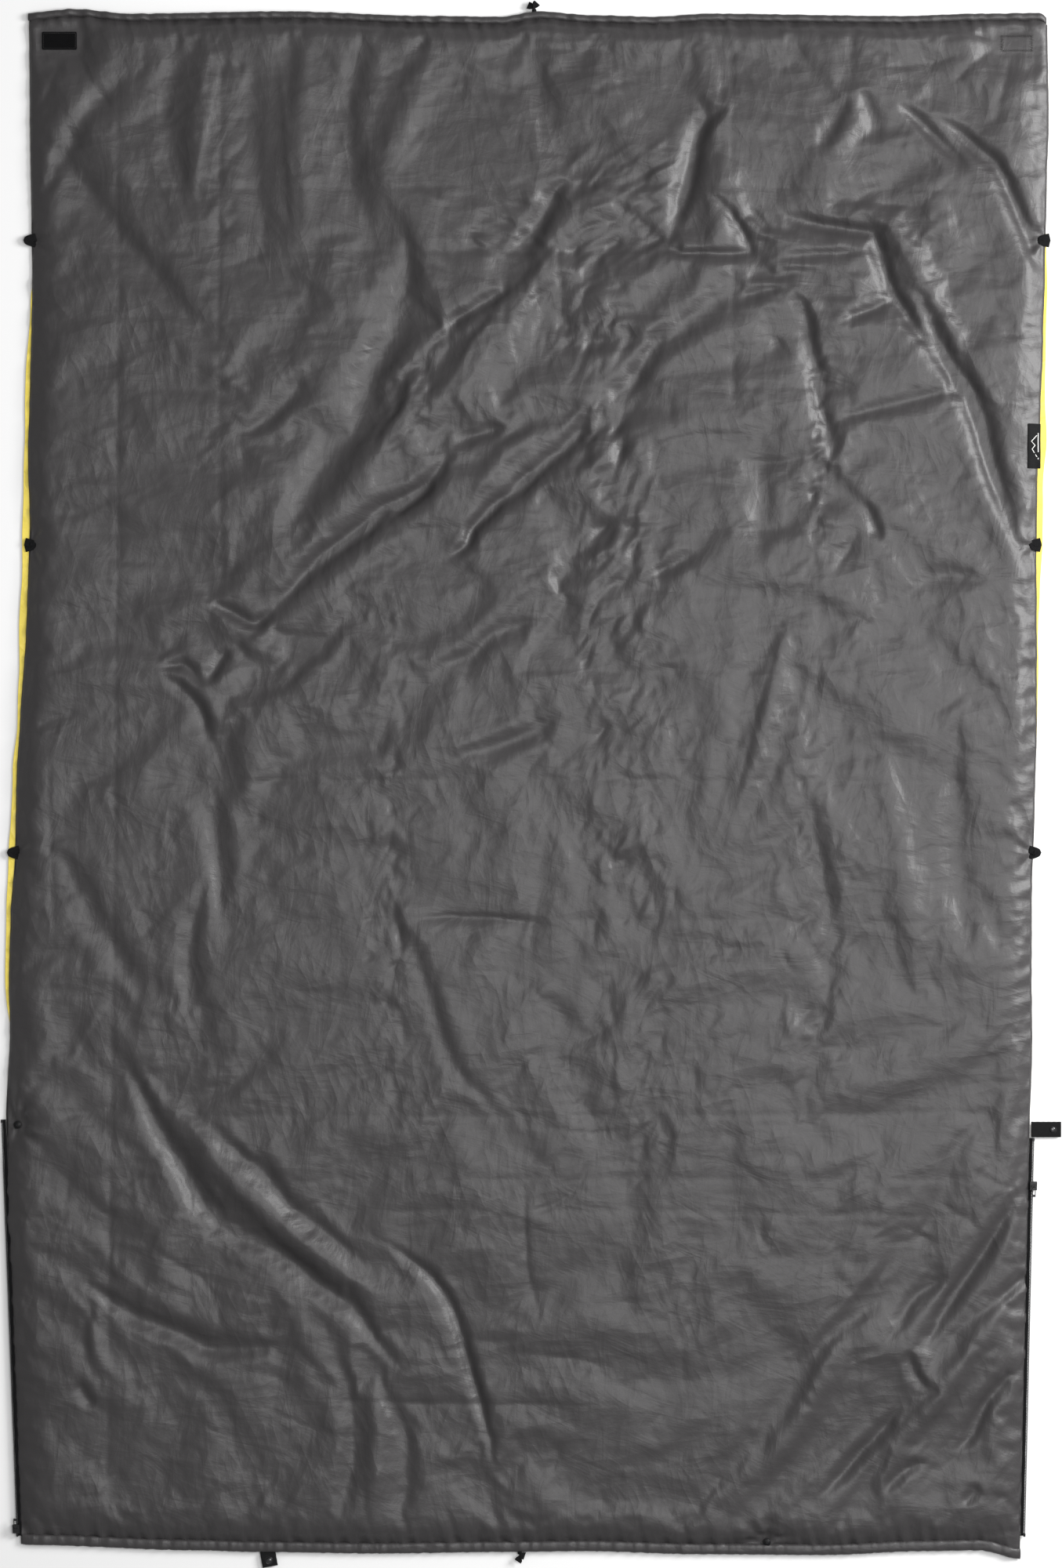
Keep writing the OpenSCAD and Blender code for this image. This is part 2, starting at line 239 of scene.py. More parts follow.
def blotches(size, seed):
    """A smooth random field from 0 to 1, whose patches are about size across."""
    random = np.random.default_rng(seed)
    nx = int((map_x[-1] - map_x[0]) / size) + 4
    ny = int((map_y[-1] - map_y[0]) / size) + 4
    knots = random.random((ny, nx))
    u = (map_x - map_x[0]) / size
    v = (map_y - map_y[0]) / size
    iu, iv = u.astype(int), v.astype(int)
    fu, fv = smooth_step(u - iu)[None, :], smooth_step(v - iv)[:, None]
    top = knots[iv][:, iu] * (1 - fu) + knots[iv][:, iu + 1] * fu
    low = knots[iv + 1][:, iu] * (1 - fu) + knots[iv + 1][:, iu + 1] * fu
    return top * (1 - fv) + low * fv


# %% [markdown]
# ## The outline of the quilt
#
# The frame has the seams as straight lines between a few stations. Real cloth wanders a few
# millimetres to each side of such a line, because the seam was sewn in soft fabric and then
# handled. Noise could do that, but a few listed places give the edge its own character: it
# bulges by the head corner and draws in by the loops.

# %% Seam lines: the frame's stations plus a listed wander
def frame_edge(node, side):
    """The outer edge of one CAD cloth as y and x places. Corners further in than the hull by a
    hand's thickness belong to the filling's pocket or to a recess, and are left out."""
    rows = {}
    for vertex in frame["nodes"][node].data.vertices:
        y = round(vertex.co.y, 4)
        rows[y] = max(rows.get(y, -9.0), side * vertex.co.x)
    ys = np.array(sorted(rows))
    xs = np.array([rows[y] for y in ys])
    hull = xs.copy()
    for i in range(len(ys)):
        for j in range(i + 1, len(ys)):
            chord = np.interp(ys[i:j + 1], ys[[i, j]], xs[[i, j]])
            hull[i:j + 1] = np.maximum(hull[i:j + 1], chord)
    keep = xs > hull - 0.012
    return ys[keep], xs[keep]


LEFT, RIGHT = -1, 1
wander = {
    LEFT: [(-89, 2), (-64, 2), (-57, 4), (-43, 0), (-34, -2), (-25, 2), (-17, 2), (-10, -1), (1, 0), (7, -2),
           (20, -6), (32, -6), (44, 0), (66, -4), (72, -3), (87, -1), (99, 0)],
    RIGHT: [(-89, 0), (-72, 1), (-60, 1), (-44, 0), (-34, 2), (-23, 0), (-13, -1), (-4, 1), (6, 2), (16, 0),
            (23, -2), (30, -4), (41, -5), (48, -3), (58, 1), (67, 4), (78, 7), (87, 10), (99, 9)],
}
shell_edges = {LEFT: frame_edge("shell_left", LEFT), RIGHT: frame_edge("shell_right", RIGHT)}
lining_edges = {LEFT: frame_edge("lining_left", LEFT), RIGHT: frame_edge("lining_right", RIGHT)}


def seam_x(side, y):
    """Where the shell's seam runs on that side, at height y along the quilt."""
    places, offs = np.array(wander[side], float).T
    return side * (np.interp(y, *shell_edges[side]) + MM * smooth_between(y, places * 0.01, offs))


def smooth_between(where, places, values):
    """Values eased from one place to the next, without corners."""
    i = np.clip(np.searchsorted(places, where) - 1, 0, len(places) - 2)
    t = smooth_step((where - places[i]) / (places[i + 1] - places[i]))
    return values[i] * (1 - t) + values[i + 1] * t


head_wander = [(-67, 1), (-59, 7), (-52, 1), (-32, 4), (-13, -2), (-4, -3), (1, 4), (8, -1), (16, -3),
               (23, 1), (48, -2), (58, 1), (67, 2)]
foot_wander = [(-67, 11), (-65, 9), (-43, 2), (-36, 0), (-20, -2), (-3, 0), (7, 1), (22, -3), (38, -4),
               (51, 1), (58, 2), (64, -10)]
HEAD_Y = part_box("head_hem_left")[1].y
FOOT_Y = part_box("foot_hem_left")[0].y


CORNER = 0.012
HEAD_RIGHT = float(seam_x(RIGHT, HEAD_Y))


def head_y(x):
    """The head's edge, with the sewn round corner at its right end."""
    places, offs = np.array(head_wander, float).T
    turn = np.clip((x - HEAD_RIGHT + CORNER) / CORNER, 0, 0.93)
    return HEAD_Y + MM * smooth_between(x, places * 0.01, offs) - CORNER * (1 - np.sqrt(1 - turn**2))


def foot_y(x):
    places, offs = np.array(foot_wander, float).T
    return FOOT_Y + MM * smooth_between(x, places * 0.01, offs)


for side, word in ((LEFT, "left"), (RIGHT, "right")):
    stations = [round(float(seam_x(side, y)), 4) for y in (0.99, 0, -0.99)]
    print(word, "seam at head, middle and foot:", stations)

# %% [markdown]
# ## The loft
#
# The filling lifts the shell to about sixteen millimetres in the middle of the quilt, and the
# seam pulls it down to the floor at the edge. The lift comes fast at first and then levels
# off, as a pillow's does. Sewn corners, where the patches sit, stay flat.

# %% Loft: low at the seams, full in the middle
def loft_edge(distance, reach):
    t = np.clip(distance / reach, 0, 1)
    return 1 - (1 - t) ** 2.4


SEAM_HEIGHT = 3.2 * MM
LOFT = 15.5 * MM
gx, gy = np.meshgrid(map_x, map_y)
left_seam = seam_x(LEFT, map_y)[:, None]
right_seam = seam_x(RIGHT, map_y)[:, None]
from_left = gx - left_seam
from_right = right_seam - gx
from_head = head_y(map_x)[None, :] - 0.009 - gy
from_foot = gy - foot_y(map_x)[None, :] - 0.012
rise = np.minimum(loft_edge(from_left, 0.045), loft_edge(from_right, 0.045))
rise = rise * loft_edge(from_head, 0.030) * loft_edge(from_foot, 0.045)
plump = 0.88 + 0.2 * blotches(0.16, 3) + 0.08 * blotches(0.07, 4)
relief = SEAM_HEIGHT + (LOFT * plump - SEAM_HEIGHT) * rise
for patch, around in (("hook_patch", 0.022), ("loop_patch", 0.026)):
    low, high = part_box(patch)
    out_x = np.maximum(np.maximum(low.x - gx, gx - high.x), 0)
    out_y = np.maximum(np.maximum(low.y - gy, gy - high.y), 0)
    flat = 1 - smooth_step((np.hypot(out_x, out_y) - 0.002) / around / 2)
    relief = relief * (1 - flat) + np.minimum(relief, 6.5 * MM) * flat
print("loft:", round(relief.max() / MM, 1), "mm at most")

# %% [markdown]
# ## The big folds
#
# The quilt has slid on its filling, and long rounded folds run from the middle towards its
# corners. Each is one stroke. Its numbers are the height and the reach to the left and to the
# right of the line in millimetres, then the places that it passes in centimetres from the
# quilt's middle. A steep side next to a gentle one is what makes a fold look pulled.

# %% Folds from the middle to the left
def folds(table, crisp=False, taper=0.3):
    for height, left, right, *places in table:
        points = [(0.01 * x, 0.01 * y) for x, y in places]
        stroke(points, height * MM, left * MM, right * MM, taper, crisp)
    print(len(table), "strokes, relief", round(relief.min() / MM, 1), "to", round(relief.max() / MM, 1), "mm")


folds([
    (5.0, 34, 26, (5, 72), (-4, 59), (-12, 50), (-20, 42), (-28, 33), (-33, 26)),
    (-10.0, 17, 13, (-10, 43.5), (-12.5, 40), (-16, 37), (-19, 36), (-22, 33), (-27.5, 29), (-33, 23)),
    (-6.0, 26, 30, (-16, 74), (-16, 68), (-17, 60.5), (-19, 55.5), (-22, 49), (-27, 41), (-30, 36),
     (-33.5, 31)),
    (-8.0, 15, 13, (5, 78), (3, 76.5), (0, 71), (-3.5, 69)),
    (-5.0, 10, 10, (-2.5, 64), (-6.5, 62), (-9.5, 60), (-12, 57.5)),
    (-5.5, 10, 12, (-3, 46.5), (-7.5, 45), (-10.5, 43.5)),
    (-7.0, 12, 11, (8, 50.5), (5.5, 44.5), (2, 41.5), (-1, 38.5), (-5.5, 35), (-10, 29)),
    (-4.5, 14, 12, (17.5, 60), (15, 55), (12, 50)),
    (4.0, 16, 14, (2, 47), (-4, 42), (-8, 36)),
    (4.0, 12, 16, (-20, 43.5), (-16, 49), (-15, 54)),
    (4.5, 14, 14, (-9, 51), (-6, 58.5), (-3.5, 60.5)),
    (-4.5, 12, 16, (-29.5, 54), (-31, 50.5), (-34, 47.5), (-38, 45)),
    (-5.0, 8, 8, (-3, 38), (-4.5, 36), (-7.5, 33), (-8, 31), (-11, 29)),
    (-4.0, 9, 9, (1, 40.5), (-1.5, 39), (-2.5, 37.5)),
    (-5.0, 9, 8, (-12.5, 40), (-14, 38), (-16, 37), (-18, 34)),
])

# %% Folds round the knot on the left, and soft ones in the middle
folds([
    (-7.0, 9, 9, (-41, 24), (-40, 23), (-38, 22), (-35.5, 21), (-33, 23)),
    (3.5, 14, 14, (-38, 19), (-35, 17.5), (-31, 17)),
    (-5.5, 9, 8, (-39, 18), (-40.5, 15.5), (-42, 12.5)),
    (-5.0, 8, 8, (-48, 14.5), (-45, 15.5), (-42, 12.5)),
    (-5.0, 9, 9, (-48, 14.5), (-45.5, 12.5), (-43, 10), (-42, 7), (-42, 5)),
    (-3.0, 14, 14, (-42, -12), (-44, -20), (-44, -30)),
    (-3.0, 18, 18, (-61, -8), (-56, -18), (-50, -28)),
    (-3.5, 16, 12, (6.5, 28.5), (4.5, 27), (2, 26)),
    (-4.0, 16, 14, (1.5, 21.5), (-2, 20), (-5, 19), (-8, 16.5), (-13, 15)),
    (-4.0, 14, 14, (4, 10), (2, 7.5), (-2.5, 5.5), (-5.5, 4.5), (-10, 4)),
    (-4.0, 12, 10, (21.5, 30), (18, 28), (15, 26.5)),
    (3.0, 22, 22, (33, 20), (30, 8), (26, -6)),
    (-3.5, 26, 26, (4, -5), (7, -15), (4, -27), (-3, -36)),
    (-3.0, 14, 14, (-41, 0), (-40.5, -9), (-40, -18)),
    (-2.2, 16, 20, (34, 3), (37, -8), (38.5, -20), (38, -33)),
    (3.0, 20, 20, (45, 6), (48, -10), (50, -28)),
    (-3.0, 18, 18, (55, 10), (55, -8), (57, -24)),
    (-1.8, 12, 18, (-15.5, -18.5), (-13, -28), (-9.5, -37), (-3.5, -42.5)),
])

# %% Folds in the head's right corner
folds([
    (-8.5, 13, 14, (26, 88), (22, 85), (20.5, 79), (19, 74), (18, 70)),
    (5.0, 26, 20, (26, 84), (25, 78), (24, 70), (20, 60)),
    (-5.5, 7, 9, (22.5, 77), (26, 73.5), (27.5, 71), (29, 67)),
    (-4.0, 7, 7, (28, 75), (31, 71)),
    (-8.0, 9, 12, (30, 74.5), (36.5, 72.5), (42, 71.5), (44, 71), (45, 69), (46.5, 64), (49, 60), (53, 54)),
    (5.5, 18, 14, (38, 75), (44, 74), (48, 70), (50, 65), (53, 59), (57, 50)),
    (-11.0, 16, 14, (49, 67.5), (51, 62), (54.5, 54), (57.5, 49), (59, 43), (61, 37), (62.5, 32), (64.5, 28)),
    (-4.5, 11, 12, (41, 89), (38.5, 84), (36.5, 82)),
    (-4.5, 11, 11, (42.5, 90), (44, 86.5), (45.5, 82)),
    (-7.0, 10, 10, (47, 88.5), (50.5, 85.5), (54.5, 81.5), (57, 79)),
    (-8.0, 10, 12, (51, 86.5), (54.5, 85), (58, 82), (60.5, 80), (62, 77), (64, 72), (65.5, 66)),
    (-6.0, 10, 14, (32, 64.5), (35, 62), (36, 57), (37, 53), (38, 47), (39, 43.5), (37, 38.5)),
    (-3.5, 6, 10, (27, 63), (32.5, 64)),
    (-4.0, 6, 9, (17, 69), (25, 68.5), (30, 69)),
    (-3.5, 7, 8, (32, 68), (43, 68.5)),
    (-3.5, 6, 8, (39.5, 59.5), (47, 62.5)),
    (-4.0, 8, 10, (39.5, 47), (53.5, 50.5), (58, 50.5)),
    (-4.5, 18, 18, (29.5, 46), (30, 37), (29.5, 28)),
    (-4.0, 14, 14, (48, 24), (53, 27), (59, 26)),
    (-4.0, 7, 8, (43, 37), (44, 34), (45.5, 31)),
])

# %% Folds in the foot's right corner
folds([
    (-8.0, 12, 11, (63, -52.5), (60.5, -57.5), (58, -61.5), (55.5, -65), (53, -69), (51.5, -72.5)),
    (-8.0, 11, 10, (64, -75.5), (61.5, -77), (58.5, -81), (56.5, -85), (54.5, -86.5)),
    (-6.5, 10, 10, (48, -79.5), (46, -83), (43.5, -85.5), (41, -88.5), (37.5, -92)),
    (5.0, 16, 16, (62, -66), (57, -73), (53, -79), (48, -86)),
    (-4.5, 10, 10, (55, -63.5), (51.5, -65), (49, -67), (46, -72.5)),
    (-4.5, 8, 8, (48.5, -73), (49.5, -76), (51.5, -78.5)),
    (-4.5, 9, 9, (51.5, -87.5), (48, -89), (45.5, -92)),
    (-4.0, 8, 8, (58, -90.5), (56, -93.5)),
    (-5.0, 9, 9, (64.5, -63), (60.5, -67)),
    (4.0, 20, 20, (40, -70), (36, -80), (30, -90)),
])

# %% Folds in the foot's left corner
folds([
    (-8.5, 16, 18, (-53.5, -34), (-51, -38.5), (-48, -44.5), (-45, -49), (-42.5, -54), (-38, -58),
     (-34.5, -59.5), (-31, -61.5), (-27, -65), (-23, -67.5), (-20, -72), (-16.5, -76)),
    (6.0, 18, 18, (-46, -41), (-41, -48), (-36, -54), (-30, -58.5), (-24, -63), (-19, -67)),
    (-5.0, 12, 14, (-41.5, -43.5), (-38, -47.5), (-34.5, -50), (-31, -54.5), (-27, -57.5), (-24.5, -59.5),
     (-20.5, -62)),
    (-6.0, 8, 8, (-21, -58), (-18, -59.5), (-15.5, -61.5), (-12.5, -64), (-10, -68),
     (-8, -75), (-6, -82), (-4.5, -89)),
    (-6.5, 16, 14, (-59, -64), (-55.5, -66), (-51, -69), (-45.5, -71), (-41, -73), (-32, -73)),
    (-4.5, 8, 9, (-59, -77), (-56.5, -81)),
    (3.0, 10, 10, (-57, -69), (-56, -74), (-54, -77)),
    (-3.5, 16, 14, (-24, -76), (-23, -86), (-25, -95)),
    (-3.5, 14, 14, (-18, -78), (-16, -88), (-17, -96)),
    (3.5, 16, 16, (-20, -76), (-20, -87), (-21, -95)),
])

# %% Soft folds that hang from the head seam
folds([
    (4.0, 26, 22, (-12, 97), (-16, 88), (-19, 79), (-20, 70)),
    (-4.0, 20, 20, (-21, 97), (-24, 86), (-23, 74)),
    (3.0, 18, 18, (-29, 97), (-30, 84), (-29, 70)),
    (-4.0, 18, 18, (-46, 97), (-47, 86), (-45, 74)),
    (3.0, 16, 18, (-42, 97), (-43, 86), (-44, 75)),
    (-3.0, 16, 18, (-36, 97), (-36, 82), (-34, 68)),
    (-4.5, 18, 20, (-65, 85.5), (-59, 79), (-54, 72), (-48, 65), (-43.5, 59)),
    (4.0, 18, 18, (-62, 92), (-55, 82), (-49, 74)),
    (-3.5, 16, 16, (-52, 92), (-58, 86), (-63, 76)),
    (-3.0, 20, 20, (0, 96), (2, 86), (6, 78)),
    (3.5, 24, 24, (8, 96), (10, 88), (14, 80)),
])

# %% [markdown]
# ## Slack: the shell settles in a cloth simulation
#
# The listed folds say where the cloth was pulled, but not how the slack between them
# buckles. That's a job for the cloth solver. A coarse copy of the shell, already bent into the
# folds, is told that it's two per cent too large. It's held at its seams, and a weak pull
# towards its own loft stands in for the filling. In twenty steps it buckles into facets that
# run into one another and into the folds. Only the moves are kept, capped to a few
# millimetres, and they're added to the height map.

# %% Helpers: a mesh from a grid of points, and its flat map
def grid_piece(name, points, ring=False):
    """A smooth mesh from rows and columns of points. With ring, each row closes on itself."""
    rows, columns = points.shape[:2]
    index = np.arange(rows * columns).reshape(rows, columns)
    if ring:
        index = np.hstack([index, index[:, :1]])
    quads = np.stack([index[:-1, :-1], index[:-1, 1:], index[1:, 1:], index[1:, :-1]], -1)
    mesh = bpy.data.meshes.new(name)
    faces = quads.reshape(-1, 4).tolist()
    if ring:
        faces += [index[0, :-1][::-1].tolist(), index[-1, :-1].tolist()]
    mesh.from_pydata(points.reshape(-1, 3).tolist(), [], faces)
    mesh.shade_smooth()
    piece = bpy.data.objects.new(name, mesh)
    scene.collection.objects.link(piece)
    return piece


def keep_flat_map(piece):
    """Stores where each point lies on the flat cloth, in metres, for the weave to follow."""
    mesh = piece.data
    corners = np.empty(len(mesh.loops), np.int64)
    mesh.loops.foreach_get("vertex_index", corners)
    places = np.empty(len(mesh.vertices) * 3)
    mesh.vertices.foreach_get("co", places)
    flat = places.reshape(-1, 3)[corners][:, :2]
    layer = mesh.uv_layers.new(name="flat")
    layer.data.foreach_set("uv", flat.reshape(-1).astype(np.float32))
    return piece


def height_at(x, y, field=None):
    """The height map's value at places x, y, in metres."""
    field = relief if field is None else field
    u = np.clip((x - map_x[0]) / MAP_STEP, 0, len(map_x) - 1.001)
    v = np.clip((y - map_y[0]) / MAP_STEP, 0, len(map_y) - 1.001)
    iu, iv = u.astype(int), v.astype(int)
    fu, fv = u - iu, v - iv
    top = field[iv, iu] * (1 - fu) + field[iv, iu + 1] * fu
    low = field[iv + 1, iu] * (1 - fu) + field[iv + 1, iu + 1] * fu
    return top * (1 - fv) + low * fv


# %% A grid over the whole quilt, from seam to seam and from hem to hem
HEM_SEAM = 0.0085
FOOT_SEAM = 0.0125


def cloth_grid(step, inset=0.0, head_in=HEM_SEAM, foot_in=FOOT_SEAM, edges=seam_x):
    """x and y of a grid of points over the quilt, about one step apart."""
    columns, rows = int(1.32 / step), int(1.98 / step)
    u = np.linspace(0, 1, columns + 1)[None, :]
    v = np.linspace(0, 1, rows + 1)[:, None]
    level = FOOT_Y + foot_in + v * (HEAD_Y - head_in - FOOT_Y - foot_in)
    x = (edges(LEFT, level) + inset) * (1 - u) + (edges(RIGHT, level) - inset) * u
    bottom, top = foot_y(x) + foot_in, head_y(x) - head_in
    y = bottom + v * (top - bottom)
    return x, y


# %% The cloth simulation on a coarse copy of the shell
def settle_cloth(step, slack, steps):
    """Moves of a coarse grid of shell points, (rows, columns, 3), after the solver has run."""
    x, y = cloth_grid(step)
    start = np.stack([x, y, height_at(x, y)], -1)
    copy = grid_piece("shell_copy", start)
    held = np.full(x.shape, 0.10)
    held[:1] = held[-1:] = 1.0
    held[:, :1] = held[:, -1:] = 1.0
    holds = copy.vertex_groups.new(name="held")
    for share in (0.10, 1.0):
        holds.add(np.nonzero(held.ravel() == share)[0].tolist(), share, "REPLACE")
    solver = copy.modifiers.new("slack", "CLOTH")
    cloth = solver.settings
    cloth.quality = 5
    cloth.mass = 0.1
    cloth.tension_stiffness = cloth.compression_stiffness = 20.0
    cloth.shear_stiffness = 6.0
    cloth.bending_stiffness = 1.0
    cloth.air_damping = 2.0
    cloth.vertex_group_mass = "held"
    cloth.pin_stiffness = 0.5
    cloth.shrink_min = cloth.shrink_max = -slack
    cloth.effector_weights.gravity = 0.0
    solver.collision_settings.use_collision = False
    solver.point_cache.frame_start, solver.point_cache.frame_end = 1, steps
    for frame_number in range(1, steps + 1):
        scene.frame_set(frame_number)
    settled = copy.evaluated_get(bpy.context.evaluated_depsgraph_get()).data
    after = np.empty(start.size)
    settled.vertices.foreach_get("co", after)
    scene.frame_set(1)
    bpy.data.objects.remove(copy)
    return after.reshape(start.shape) - start


def weights(fine, count):
    """How much each of count coarse places gives to each fine place, from 0 to 1, as a
    smooth curve through the coarse values."""
    at = np.clip(fine, 0, 1) * (count - 1)
    low = np.clip(at.astype(int), 0, count - 2)
    t = at - low
    share = np.zeros((len(fine), count))
    curve = (-0.5 * t + t**2 - 0.5 * t**3, 1 - 2.5 * t**2 + 1.5 * t**3,
             0.5 * t + 2 * t**2 - 1.5 * t**3, -0.5 * t**2 + 0.5 * t**3)
    for k, part in enumerate(curve):
        np.add.at(share, (np.arange(len(fine)), np.clip(low + k - 1, 0, count - 1)), part)
    return share


SOLVER_STEP = 0.008
SLACK = 0.020
SOLVER_STEPS = 20
moves = settle_cloth(SOLVER_STEP, SLACK, SOLVER_STEPS)
print("slack moves:", np.round(np.abs(moves).max(axis=(0, 1)) / MM, 1), "mm at most")

# %% Where the slack shows most: as listed patches, from the middle of each
lively = np.full(gx.shape, 0.42)
for x, y, across, along, more in (
    (0.10, 0.70, 0.20, 0.22, 0.45), (-0.20, 0.48, 0.20, 0.26, 0.35), (0.45, 0.66, 0.18, 0.24, 0.40),
    (-0.38, 0.16, 0.14, 0.14, 0.30), (0.06, 0.28, 0.10, 0.22, 0.30), (0.36, 0.10, 0.10, 0.40, 0.20),
    (-0.34, -0.60, 0.24, 0.22, 0.30), (0.52, -0.72, 0.14, 0.22, 0.35), (-0.10, -0.85, 0.40, 0.14, 0.15),
):
    lively += more * np.exp(-(((gx - x) / across) ** 2) - ((gy - y) / along) ** 2)
share_u = (gx - left_seam) / (right_seam - left_seam)
bottom = foot_y(map_x)[None, :] + FOOT_SEAM
share_v = (gy - bottom) / (head_y(map_x)[None, :] - HEM_SEAM - bottom)


def soft_cap(value, most):
    return most * np.tanh(value / most)


def on_map(field):
    """Carries one channel of the coarse moves to the height map."""
    fine_rows, fine_columns = 1201, 801
    dense = weights(np.linspace(0, 1, fine_rows), field.shape[0]) @ field
    dense = dense @ weights(np.linspace(0, 1, fine_columns), field.shape[1]).T
    i = np.clip(np.rint(share_v * (fine_rows - 1)).astype(int), 0, fine_rows - 1)
    j = np.clip(np.rint(share_u * (fine_columns - 1)).astype(int), 0, fine_columns - 1)
    return dense[i, j]


MOST_SLIDE = 4 * MM
MOST_LIFT = 9 * MM
inside = smooth_step(np.minimum(from_left, from_right) / 0.020)
inside = inside * smooth_step(from_head / 0.018) * smooth_step(from_foot / 0.022)
slide_x = lively * inside * soft_cap(on_map(moves[..., 0]), MOST_SLIDE)
slide_y = lively * inside * soft_cap(on_map(moves[..., 1]), MOST_SLIDE)
relief += lively * inside * soft_cap(on_map(moves[..., 2]), MOST_LIFT)
print("relief with slack:", round(relief.min() / MM, 1), "to", round(relief.max() / MM, 1), "mm")

# %% [markdown]
# ## Creases
#
# Over the folds lie thin crisp creases, a few millimetres wide and a hand long. They come
# where the shell has been crushed, and along the straight lines where the quilt was folded in
# its bag. Single ones are set one by one where they show most. The rest are scattered by a loop
# that knows, for each part of the quilt, how many there are and which way they run.

# %% Single creases, set one by one
folds([
    (-1.8, 4, 8, (-16.5, -17.5), (-8, -17), (1, -18)),
    (-2.8, 5, 10, (-15.8, -17.2), (-5, -17.3), (1.5, -18.3), (6.4, -19.8)),
    (-1.8, 5, 5, (32.5, 20), (29, 8), (25.5, -6)),
    (-2.2, 4, 6, (-1, -50), (-0.5, -62), (0.8, -67), (2, -71.5)),
    (-1.8, 4, 6, (-4.2, -73.4), (4, -74), (12.5, -75.7)),
    (-1.8, 4, 6, (-29, -79.5), (-12, -80), (12, -80.2)),
    (-1.4, 4, 4, (-62.5, 8), (-62, -10), (-61.5, -24)),
    (-2.6, 5, 8, (15.5, 43.5), (21.5, 45), (28, 45)),
    (-2.4, 5, 8, (25, 42), (32, 41.5), (36, 42.5)),
    (-1.8, 4, 7, (21.5, 39), (29, 38.5)),
    (-1.6, 4, 6, (35, 75), (44, 75), (52, 74.5)),
    (-1.8, 4, 6, (36, 62.5), (44, 63.5), (55.5, 66)),
    (-1.4, 4, 4, (26, 57), (26.5, 49)),
    (-1.4, 3, 3, (-58.8, 99.2), (-58.8, 95.1)),
    (-1.2, 3, 4, (-65.3, 97.6), (-59, 97.6)),
    (-2.0, 5, 6, (-58.8, 94.8), (-57, 91), (-53, 86)),
    (-1.8, 5, 6, (-61, 94.2), (-62, 91), (-64, 87)),
    (-1.4, 3, 4, (60, 97.4), (66, 97.4)),
    (-1.4, 3, 4, (60, 94.6), (66, 94.8)),
    (-2.2, 5, 7, (60.4, 95.5), (57, 93), (54, 90)),
    (-1.8, 4, 6, (60.4, 96.5), (57, 96.8), (52, 96)),
    (-2.0, 5, 6, (62, 94.6), (61.5, 91), (60, 87)),
    (-1.8, 5, 6, (64.5, 94.6), (65, 91), (65.4, 87)),
    (1.4, 6, 6, (60, 98.4), (66, 98.3)),
    (-1.6, 4, 5, (58, 97.4), (52, 98.0), (46, 97.6)),
    (-2.2, 6, 8, (57, 94.5), (50, 93), (44, 92.5)),
    (1.6, 4, 9, (-39.5, 96.5), (-42, 86), (-44, 74)),
    (1.6, 9, 4, (-33, 96.5), (-31.5, 82), (-30.5, 67)),
    (-1.6, 4, 7, (-37, 18.5), (-31, 17.5), (-23, 15)),
    (-1.6, 4, 7, (-33, 19.5), (-25, 19)),
    (-1.6, 4, 7, (-59, 0), (-52.5, 2)),
    (-1.4, 4, 7, (-38.5, -4.5), (-33.5, -4.5)),
    (-1.4, 4, 7, (-38, 0), (-23, 1.5)),
    (-1.6, 4, 5, (-55, -0.5), (-52.5, -3)),
    (-1.6, 4, 5, (-51.5, -16), (-49, -17.5), (-47.5, -20)),
    (-1.8, 4, 6, (52.5, -54), (59, -58)),
    (-1.8, 4, 6, (56, -49), (58.5, -51), (64.5, -53)),
    (-1.6, 4, 6, (47, -56.5), (53.5, -60)),
    (-1.6, 4, 6, (53.5, -71.5), (59, -73)),
    (-1.8, 4, 6, (13.5, 33), (22.5, 34)),
    (-1.8, 4, 6, (7.5, 4.5), (10.5, 8.5)),
    (-2.0, 4, 6, (6.5, 78), (11, 75), (16.5, 71)),
    (-2.0, 4, 6, (9, 79), (13, 76.5), (18, 74)),
    (-2.0, 4, 6, (7, 74), (12, 72), (15, 68.5)),
    (-1.6, 3, 6, (-4, 97), (4, 96.5), (12, 97)),
    (-1.6, 3, 6, (-2, 95), (6, 95), (12, 94.5)),
    (-2.4, 7, 12, (12.5, 26.5), (17, 25), (21, 25)),
    (-1.5, 4, 6, (-1, -44), (8, -45), (15, -44)),
    (-1.6, 4, 6, (-52, -58), (-42, -64), (-33, -67)),
    (-1.5, 4, 6, (-24, -39), (-19, -37), (-14, -39)),
    (-1.6, 4, 6, (-2, -56), (5, -53), (9, -46)),
    (-1.6, 4, 6, (16, -60), (19, -70), (20, -80)),
    (-1.5, 4, 6, (-36, -80), (-26, -84), (-18, -84)),
], crisp=True)

